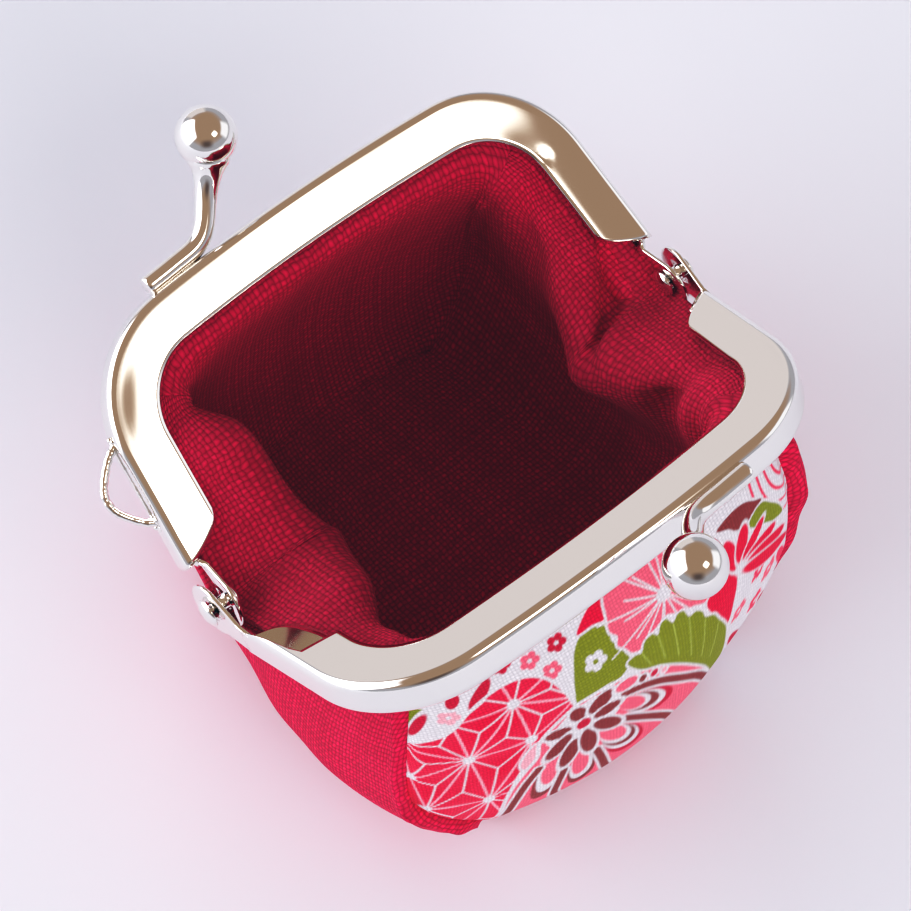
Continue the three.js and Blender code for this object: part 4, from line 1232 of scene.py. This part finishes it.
# Blossoms as centre, reach and colour
BLOSSOMS = [
    ((-10.8, 10.4), 1.15, PINK), ((-9.1, 13.1), 1.15, PINK), ((-7.6, 10.3), 1.15, CRIMSON),
    ((-20.5, 13.2), 1.25, PALE), ((-13.6, 9.0), 1.1, CRIMSON), ((17.6, 26.4), 1.5, ROSE),
    ((19.9, 30.6), 1.5, PINK), ((14.2, 29.4), 1.4, PINK), ((17.6, 33.6), 1.4, ROSE),
]
STAR_HUB = (14.0, 20.6)
STAR_HUB_RADIUS = 0.6
STAR_OUTLINE = 0.22
STAR_PETALS = [
    ((13.6, 20.0), (12.8, 14.4), 0.9), ((14.3, 19.8), (15.6, 14.9), 0.95),
    ((14.8, 20.1), (18.6, 17.9), 0.95), ((15.0, 20.7), (20.6, 22.4), 1.05),
    ((15.4, 21.3), (22.6, 26.6), 1.1), ((14.6, 21.6), (23.8, 30.4), 1.0),
]
RED_PATCH = [
    (9.1, 20.4), (10, 19.3), (12.4, 18.9), (13.6, 20.7), (13.5, 22.8), (12.9, 25), (12.4, 27.5),
    (11.9, 28), (11, 26), (10, 23.3),
]
BROWN_LEAF = [
    (12.2, 12.0), (13.6, 13.2), (14.4, 14.4), (15.8, 15.2), (18.6, 15), (17.6, 13.6), (16.2, 12.1),
    (14.3, 11.6),
]
SMALL_LEAF = [
    (16.2, 16), (17.2, 15.2), (18.7, 15.5), (20, 17.6), (21.3, 20), (22, 22.4), (20.4, 21.4),
    (18.8, 19.4), (17.2, 17.7),
]
TOP_LEAF = [
    (-27.2, 12.4), (-26.2, 10.4), (-24, 10.6), (-22.3, 11), (-23.5, 12.4), (-25, 14.2),
    (-26.6, 14.2),
]
LANCE_LEAVES = [
    ((-25.4, 15.7), (-22.4, 11.8), 0.6, CRIMSON), ((-18.2, 13.0), (-15.2, 9.6), 0.75, CRIMSON),
    ((-19.9, 11.9), (-18.9, 9.6), 0.7, CRIMSON), ((13.2, 33.6), (15.6, 39.6), 0.9, CRIMSON),
    ((18.6, 34.6), (21.2, 40.4), 0.9, CRIMSON), ((21.8, 30.4), (23.6, 35.6), 0.8, ROSE),
]
WAVE_CENTRE = (25.5, 11.5)
WAVE_RADII = (3.2, 4.4, 5.6, 6.8, 8.0)
WAVE_TURNS = (0.45, 1.05)
WAVE_POINTS = 12
WAVE_STRETCH = 1.5
WAVE_WIDTH = 0.34


class Print:
    """Colours of the print at flat places of the cloth, painted one shape over another."""

    def __init__(self, place):
        self.place = place
        self.colour = np.tile(GROUND, (len(place), 1))

    def near(self, points, margin):
        low, high = np.min(points, 0) - margin, np.max(points, 0) + margin
        return np.flatnonzero(((self.place > low) & (self.place < high)).all(1))

    def cover(self, some, distance, colour, outline=0.0):
        """Paints a shape, with an outline of the ground around it."""
        if outline:
            self.cover(some, distance - outline, GROUND)
        share = smoothstep(DYE_EDGE, -DYE_EDGE, distance)[:, None]
        self.colour[some] = lerp(self.colour[some], colour, share)

    def blob(self, points, colour, outline=OUTLINE):
        line = closed_curve(points)
        some = self.near(line, MARGIN)
        distance = to_line(self.place[some], line)
        distance = np.where(inside(self.place[some], line), -distance, distance)
        self.cover(some, distance - outline, GROUND)
        self.cover(some, distance, colour[some] if len(colour) == len(self.place) else colour)

    def stroke(self, points, width, colour, outline=0.0):
        line = smooth_route(points, STROKE_STEPS)
        some = self.near(line, width + MARGIN)
        distance = to_line(self.place[some], line) - width / 2
        self.cover(some, distance, colour, outline)

    def petal(self, root, tip, half_width, colour, outline=OUTLINE):
        root, tip = np.array(root, float), np.array(tip, float)
        half = (tip - root) / 2
        length = np.linalg.norm(half)
        some = self.near([root, tip], half_width + MARGIN)
        away = self.place[some] - (root + tip) / 2
        along = away @ half / length
        aside = (away[:, 0] * half[1] - away[:, 1] * half[0]) / length
        distance = (np.hypot(along / length, aside / half_width) - 1) * min(length, half_width)
        self.cover(some, distance, colour, outline)

    def disc(self, centre, radius, colour, outline=0.0):
        some = self.near([centre], radius + MARGIN)
        distance = np.linalg.norm(self.place[some] - centre, axis=1) - radius
        self.cover(some, distance, colour, outline)

    def blossom(self, centre, reach, colour, heart=GROUND):
        for n in range(BLOSSOM_PETALS):
            angle = 2 * math.pi * (n + BLOSSOM_TURN) / BLOSSOM_PETALS
            away = PETAL_PLACE * reach * np.array([math.cos(angle), math.sin(angle)])
            self.disc(centre + away, PETAL_SIZE * reach, colour)
        self.disc(centre, HEART_SIZE * reach, heart)


def closed_curve(points):
    """Smooth closed line through points."""
    loop = smooth_route(points[-2:] + points + points[:3], CURVE_STEPS)
    return loop[2 * CURVE_STEPS:-2 * CURVE_STEPS]


def to_line(place, line):
    best = np.full(len(place), np.inf)
    for a, b in zip(line[:-1], line[1:]):
        step = b - a
        share = np.clip((place - a) @ step / max(step @ step, TINY), 0, 1)
        best = np.minimum(best, np.linalg.norm(place - a - share[:, None] * step, axis=1))
    return best


def inside(place, line):
    within = np.zeros(len(place), bool)
    for a, b in zip(line, np.roll(line, -1, 0)):
        crosses = (a[1] > place[:, 1]) != (b[1] > place[:, 1])
        rise = np.where(b[1] == a[1], 1.0, b[1] - a[1])
        within ^= crosses & (place[:, 0] < a[0] + (place[:, 1] - a[1]) / rise * (b[0] - a[0]))
    return within


def hemp_leaf(place):
    """Hemp-leaf pattern: triangles between the hubs, each with three spokes from its middle."""
    art = Print(place)
    tone = 0.5 + 0.5 * ripples(place[:, 0], place[:, 1], HEMP_TONE_WAVE, HEMP_SEED)[:, None]
    art.colour = lerp(RED, ROSE, np.clip(tone, 0, 1) * HEMP_TONE)
    triangles = [np.array([HEMP_HUBS[name] for name in names]) for names in HEMP_TRIANGLES]
    for corners in triangles:
        for a, b in zip(corners, np.roll(corners, 1, 0)):
            art.stroke([a, b], HEMP_LINE, PALE)
    for corners in triangles:
        for corner in corners:
            art.stroke([corners.mean(0), corner], HEMP_SPOKE, GROUND)
    for hub in HEMP_HUBS.values():
        art.disc(hub, HEMP_HUB_RADIUS, GROUND)
    return art.colour


def big_flower(art):
    art.blob(FLOWER, PINK, FLOWER_OUTLINE)
    art.blob(FLOWER_HEART, GROUND, 0.0)
    for root, tip, half_width, colour in FLOWER_PETALS:
        art.petal(root, tip, half_width, colour, 0.0)
    for rib in FLOWER_RIBS:
        art.stroke(rib, RIB_WIDTH, BROWN, OUTLINE)
    for root, tip, half_width in FLOWER_INNER:
        art.petal(root, tip, half_width, BROWN)
    art.disc(FLOWER_HUB, FLOWER_HUB_RADIUS, CRIMSON, OUTLINE)
    art.petal(*FLOWER_BUD, PINK)
    for centre, radius, colour in FLOWER_DROPS:
        art.disc(centre, radius, colour, OUTLINE)


def daisy(art):
    art.blob(RED_PETALS, RED)
    art.blob(DAISY, PINK)
    for n in range(DAISY_RAYS):
        angle = 2 * math.pi * n / DAISY_RAYS + DAISY_SWAY * math.sin(n * DAISY_SWAY_STEP)
        away = np.array([math.cos(angle), math.sin(angle)])
        reach = DAISY_SHORT * DAISY_REACH if n % 2 else DAISY_REACH
        art.stroke([DAISY_HUB + away * DAISY_START, DAISY_HUB + away * reach], DAISY_LINE, GROUND)
    art.disc(DAISY_HUB, DAISY_HUB_RADIUS, GROUND)


def red_star(art):
    art.blob(RED_PATCH, RED)
    for root, tip, half_width in STAR_PETALS:
        art.petal(root, tip, half_width, RED, STAR_OUTLINE)
    art.disc(STAR_HUB, STAR_HUB_RADIUS, GROUND)


def leaves(art):
    art.blob(TOP_LEAF, GREEN)
    for root, tip, half_width, colour in LANCE_LEAVES:
        art.petal(root, tip, half_width, colour)
    art.blob(BROWN_LEAF, BROWN)
    art.blob(SMALL_LEAF, GREEN)
    art.blob(LOBED_LEAF, GREEN)
    art.blossom(LEAF_BLOSSOM, LEAF_BLOSSOM_REACH, GROUND, GREEN)


def fan_leaf(art):
    art.blob(FAN_LEAF, GREEN)
    for vein in FAN_VEINS:
        art.stroke(vein, VEIN_WIDTH, LEAF_VEIN)


def waves(art):
    """Round waves in the upper right corner."""
    turn = np.linspace(WAVE_TURNS[0] * math.pi, WAVE_TURNS[1] * math.pi, WAVE_POINTS)
    away = np.stack([np.cos(turn), WAVE_STRETCH * np.sin(turn)], -1)
    for radius in WAVE_RADII:
        art.stroke(WAVE_CENTRE + radius * away, WAVE_WIDTH, ROSE)


def print_on(piece, flat):
    art = Print(flat[:, :2])
    waves(art)
    for centre, reach, colour in BLOSSOMS:
        art.blossom(centre, reach, colour)
    leaves(art)
    daisy(art)
    red_star(art)
    art.blob(HEMP_ROUND, hemp_leaf(art.place), HEMP_OUTLINE)
    art.blob(PALE_PETAL, PALE)
    big_flower(art)
    fan_leaf(art)
    colours = np.concatenate([art.colour, np.ones((len(flat), 1))], 1)
    attribute = piece.data.color_attributes.new("print", "FLOAT_COLOR", "POINT")
    attribute.data.foreach_set("color", colours.ravel())


# Build

def panel_sheet(layer, back, steps, counts):
    grid = panel_sections(np.linspace(-1, 1, steps + 1), back, layer, counts)
    if not back and layer is OUTER:
        grid = shift_panel(grid, section_places(counts))
    return Sheet(grid, -1 if back else 1, steps // 2, False)


def fold_sides(strip, side_steps, rows):
    """Presses the folds of the lining's sides into its strip."""
    across = np.linspace(-1, 1, side_steps + 1)[:, None]
    height = np.zeros(strip.grid.shape[:2])
    for side, place, slant, spread, down, down_spread, depth in SIDE_FOLDS:
        line = place + slant * (rows - down)
        fold = depth * np.exp(-((across - line) / spread) ** 2 - ((rows - down) / down_spread) ** 2)
        columns = slice(0, len(rows)) if side < 0 else slice(-len(rows), None)
        height[:, columns] += fold if side < 0 else fold[:, ::-1]
    strip.push(height * strip.clear_of_seams())


def wrinkle(sheet, depth, wavelength, seed):
    above_base = smoothstep(*WRINKLE_FADE, sheet.grid[..., 2])
    rippled = ripples(sheet.flat[..., 0], sheet.flat[..., 1], wavelength, seed)
    sheet.push(depth * sheet.clear_of_seams() * above_base * sheet.free * rippled)


def seam_ridge(strip, seed):
    """Lets the strip stand up beside the front seams, clear of the base."""
    rippled = ripples(strip.flat[..., 1], np.zeros_like(strip.from_start), PUCKER_LENGTH, seed)
    ridge = np.exp(-((strip.from_start - RIDGE_PLACE) / RIDGE_WIDTH) ** 2)
    above_base = smoothstep(*RIDGE_FADE, strip.grid[..., 2])
    strip.push(-RIDGE * (1 + RIDGE_WAVE * rippled) * ridge * above_base * strip.free)


def declare(piece, node):
    """What a piece of cloth stands for."""
    tie(piece, node)


def build_shell(layer, plan, names, materials):
    """The two panels and the strip of the outside or of the lining, sewn together."""
    show_outer = layer is OUTER
    strip_rows = section_places(plan["strip_rows"])
    grid = strip_grid(layer, plan["side"], plan["base"], plan["strip_rows"])
    if show_outer:
        across = np.linspace(-1, 1, plan["front"] + 1)
        front = panel_sections(across, False, layer, plan["strip_rows"])
        grid = shift_strip(grid, front, strip_rows)
    strip = Sheet(grid, -1, plan["side"] // 2, True)
    if show_outer:
        seam_ridge(strip, plan["seed"] + RIDGE_SEED)
    else:
        fold_sides(strip, plan["side"], strip_rows)
    wrinkle(strip, *STRIP_WRINKLE, plan["seed"])
    at = strip_places(strip_rows, plan["base"])
    made = {}
    for word, back in (("front", False), ("back", True)):
        panel = panel_sheet(layer, back, plan[word], plan[word + "_rows"])
        wrinkle(panel, *PANEL_WRINKLE, plan["seed"] + PANEL_SEED + back)
        rows = section_places(plan[word + "_rows"])
        line = plan["side"] if back else 0
        sew(panel, rows, strip, at, line, plan["seed"] + SEAM_SEED + back)
        made[word] = panel
    made["strip"] = strip
    pieces = {}
    for word, sheet in made.items():
        flip = (word == "front") == show_outer
        piece, flat = cloth_piece(names[word] + "_dressed", sheet, show_outer, flip, materials[word])
        declare(piece, names[word])
        pieces[word] = (piece, flat)
    return pieces


# Steps of each piece's grid, and seeds: the plan's own for the strip, the others counted from it
PANEL_SEED = 1
SEAM_SEED = 3
RIDGE_SEED = 9
OUTER_PLAN = dict(side=96, base=96, strip_rows=(8, 64, 40), front=352, front_rows=(8, 160, 88),
                  back=352, back_rows=(8, 160, 88), seed=31)
LINING_PLAN = dict(side=128, base=96, strip_rows=(8, 72, 40), front=160, front_rows=(8, 72, 40),
                   back=160, back_rows=(8, 72, 40), seed=51)

nickel = nickel_material()
# One canvas in a lit and a shaded copy: painted light on the outside, painted shade on the lining
canvas = canvas_material("red_canvas_painted_light", CANVAS_PAINTED_LIGHT)
lining_canvas_painted_shade = canvas_material("red_lining_painted_shade", LINING_PAINTED_SHADE)
cotton = print_material()
for half in HALVES:
    frame_half(half, nickel)
rivet("left", -1, nickel)
rivet("right", 1, nickel)
outer = build_shell(
    OUTER, OUTER_PLAN, dict(front="panel_front", back="panel_back", strip="gusset"),
    dict(front=cotton, back=cotton, strip=canvas))
build_shell(
    LINING, LINING_PLAN, dict(front="lining_front", back="lining_back", strip="lining_gusset"),
    dict(front=lining_canvas_painted_shade, back=lining_canvas_painted_shade, strip=lining_canvas_painted_shade))
print_on(*outer["front"])
print_on(*outer["back"])


# Stage
AIM = (0.0, 0.0, 30.0)
OVERHEAD = 0.99
TABLE_HALF_WIDTH = 3000.0
TABLE_SHADES = ((0.865, 0.86, 0.91), (0.885, 0.88, 0.93))
TABLE_GRAIN = (30.0, 3.0)
TABLE_ROUGHNESS = 0.8
NEAREST_VIEW = 0.01
SKY = (0.425, 0.42, 0.45, 1)
HAZE = (-0.006, -0.016, -0.024)
TONE = [(0.1, 0.048), (0.25, 0.19), (0.5, 0.49), (0.8, 0.83)]
# Parts of the room as name, azimuth, elevation, distance, size, colour, strength, share of its
# half width that fades out, and where it shows: in the light on the cloth or in the metal
ROOM = [
    ("window", -112, 24, 2500.0, (2900.0, 1700.0), (0.92, 0.98, 1.07), 3.2, 0.2, "cloth"),
    ("fill", -5, 28, 2500.0, (2000.0, 1900.0), (1.0, 0.98, 1.01), 3.8, 0.2, "cloth"),
    ("side_fill", 70, 16, 2500.0, (2500.0, 1300.0), (0.97, 0.97, 1.02), 0.15, 0.2, "cloth"),
    ("back_fill", 165, 14, 2600.0, (2400.0, 1600.0), (0.98, 0.97, 1.0), 3.9, 0.2, "cloth"),
    ("lamp_light", 21, 46, 800.0, (420.0, 380.0), (1.0, 0.96, 0.92), 1.0, 0.5, "cloth"),
    ("bright_window", -128, 27, 2500.0, (4000.0, 2900.0), (0.98, 0.98, 1.03), 5.0, 0.45, "metal"),
    ("right_wall", 62, 20, 2500.0, (2700.0, 1700.0), (0.96, 0.96, 1.0), 1.1, 0.5, "metal"),
    ("back_wall", 165, 14, 2600.0, (2300.0, 1700.0), (1.0, 0.93, 0.92), 0.74, 0.4, "metal"),
    ("front_dark", -33, 28, 2400.0, (2700.0, 1900.0), (0.15, 0.11, 0.095), 1.0, 0.9, "metal"),
    ("lamp", 21.0, 53.0, 800.0, (320.0, 280.0), (1.0, 0.95, 0.86), 6.0, 0.75, "metal"),
    ("ceiling", 0, 90, 2600.0, (16000.0, 16000.0), (0.40, 0.28, 0.195), 1.0, 0.7, "metal"),
]


def direction(azimuth, elevation):
    a, e = math.radians(azimuth), math.radians(elevation)
    return np.array([math.sin(a) * math.cos(e), -math.cos(a) * math.cos(e), math.sin(e)])


def facing(place, target):
    """Turn and place of an upright card that faces a target."""
    towards = unit(np.asarray(target, float) - place)
    upwards = [0.0, 1.0, 0.0] if abs(towards[2]) > OVERHEAD else [0.0, 0.0, 1.0]
    side = unit(np.cross(upwards, towards))
    turn = Matrix((side, np.cross(towards, side), towards)).transposed().to_4x4()
    return Matrix.Translation(np.asarray(place) * MM) @ turn


def faded(tree, size, soft):
    """One in the middle of a card and zero at its edges."""
    place = add_node(tree, "ShaderNodeTexCoord").outputs["Object"]
    parts = add_node(tree, "ShaderNodeSeparateXYZ", [place])
    shares = []
    for axis in (0, 1):
        half = size[axis] / 2 * MM
        away = maths(tree, "ABSOLUTE", parts.outputs[axis])
        edge = add_node(tree, "ShaderNodeMapRange", [away, half, half * (1 - soft), 0.0, 1.0],
                        interpolation_type="SMOOTHSTEP")
        shares.append(edge.outputs[0])
    return maths(tree, "MULTIPLY", *shares)


def flat_card(name, x, y, material):
    """A rectangle about its middle, from its half sizes."""
    corners = [(-x, -y, 0.0), (x, -y, 0.0), (x, y, 0.0), (-x, y, 0.0)]
    return make_object(name, corners, [[0, 1, 2, 3]], material, False)


def card(name, azimuth, elevation, distance, size, colour, strength, soft, shows):
    """A glowing part of the room."""
    material = bpy.data.materials.new(name)
    material.use_nodes = True
    tree = material.node_tree
    tree.nodes.clear()
    glow = add_node(tree, "ShaderNodeEmission", [(*colour, 1), strength]).outputs[0]
    clear = add_node(tree, "ShaderNodeBsdfTransparent").outputs[0]
    mixed = add_node(tree, "ShaderNodeMixShader", [faded(tree, size, soft), clear, glow]).outputs[0]
    output = add_node(tree, "ShaderNodeOutputMaterial")
    tree.links.new(mixed, output.inputs[0])
    piece = flat_card(name, size[0] / 2, size[1] / 2, material)
    piece.matrix_world = facing(direction(azimuth, elevation) * distance, AIM)
    piece.visible_camera = False
    piece.visible_diffuse = shows == "cloth"
    piece.visible_glossy = shows == "metal"
    piece.visible_shadow = False


def make_floor():
    material, tree, shader = new_material("table")
    place = add_node(tree, "ShaderNodeTexCoord").outputs["Object"]
    colour = blend(tree, noise(tree, place, *TABLE_GRAIN), *TABLE_SHADES)
    tree.links.new(colour, shader.inputs["Base Color"])
    shader.inputs["Roughness"].default_value = TABLE_ROUGHNESS
    flat_card("table", TABLE_HALF_WIDTH, TABLE_HALF_WIDTH, material)


def make_camera():
    data = bpy.data.cameras.new("camera")
    data.sensor_width = SENSOR_WIDTH
    data.lens = FOCAL_PIXELS / PHOTO_SIZE * SENSOR_WIDTH
    data.clip_start = NEAREST_VIEW
    camera = bpy.data.objects.new("camera", data)
    right = np.array([math.cos(CAMERA_AZIMUTH), math.sin(CAMERA_AZIMUTH), 0.0])
    back = direction(math.degrees(CAMERA_AZIMUTH), math.degrees(CAMERA_ELEVATION))
    up = np.cross(back, right)
    camera.rotation_euler = Matrix((right, up, back)).transposed().to_euler()
    camera.location = np.array(CAMERA_PLACE) * MM
    bpy.context.scene.collection.objects.link(camera)
    bpy.context.scene.camera = camera


def make_world():
    world = bpy.data.worlds.new("room")
    world.use_nodes = True
    sky = world.node_tree.nodes["Background"]
    sky.inputs["Color"].default_value = SKY
    sky.inputs["Strength"].default_value = 1.0
    bpy.context.scene.world = world


make_floor()
make_camera()
make_world()
for part in ROOM:
    card(*part)
view = bpy.context.scene.view_settings
view.view_transform = "Standard"
view.use_curve_mapping = True
view.curve_mapping.black_level = HAZE
for point in TONE:
    view.curve_mapping.curves[3].points.new(*point)
view.curve_mapping.update()
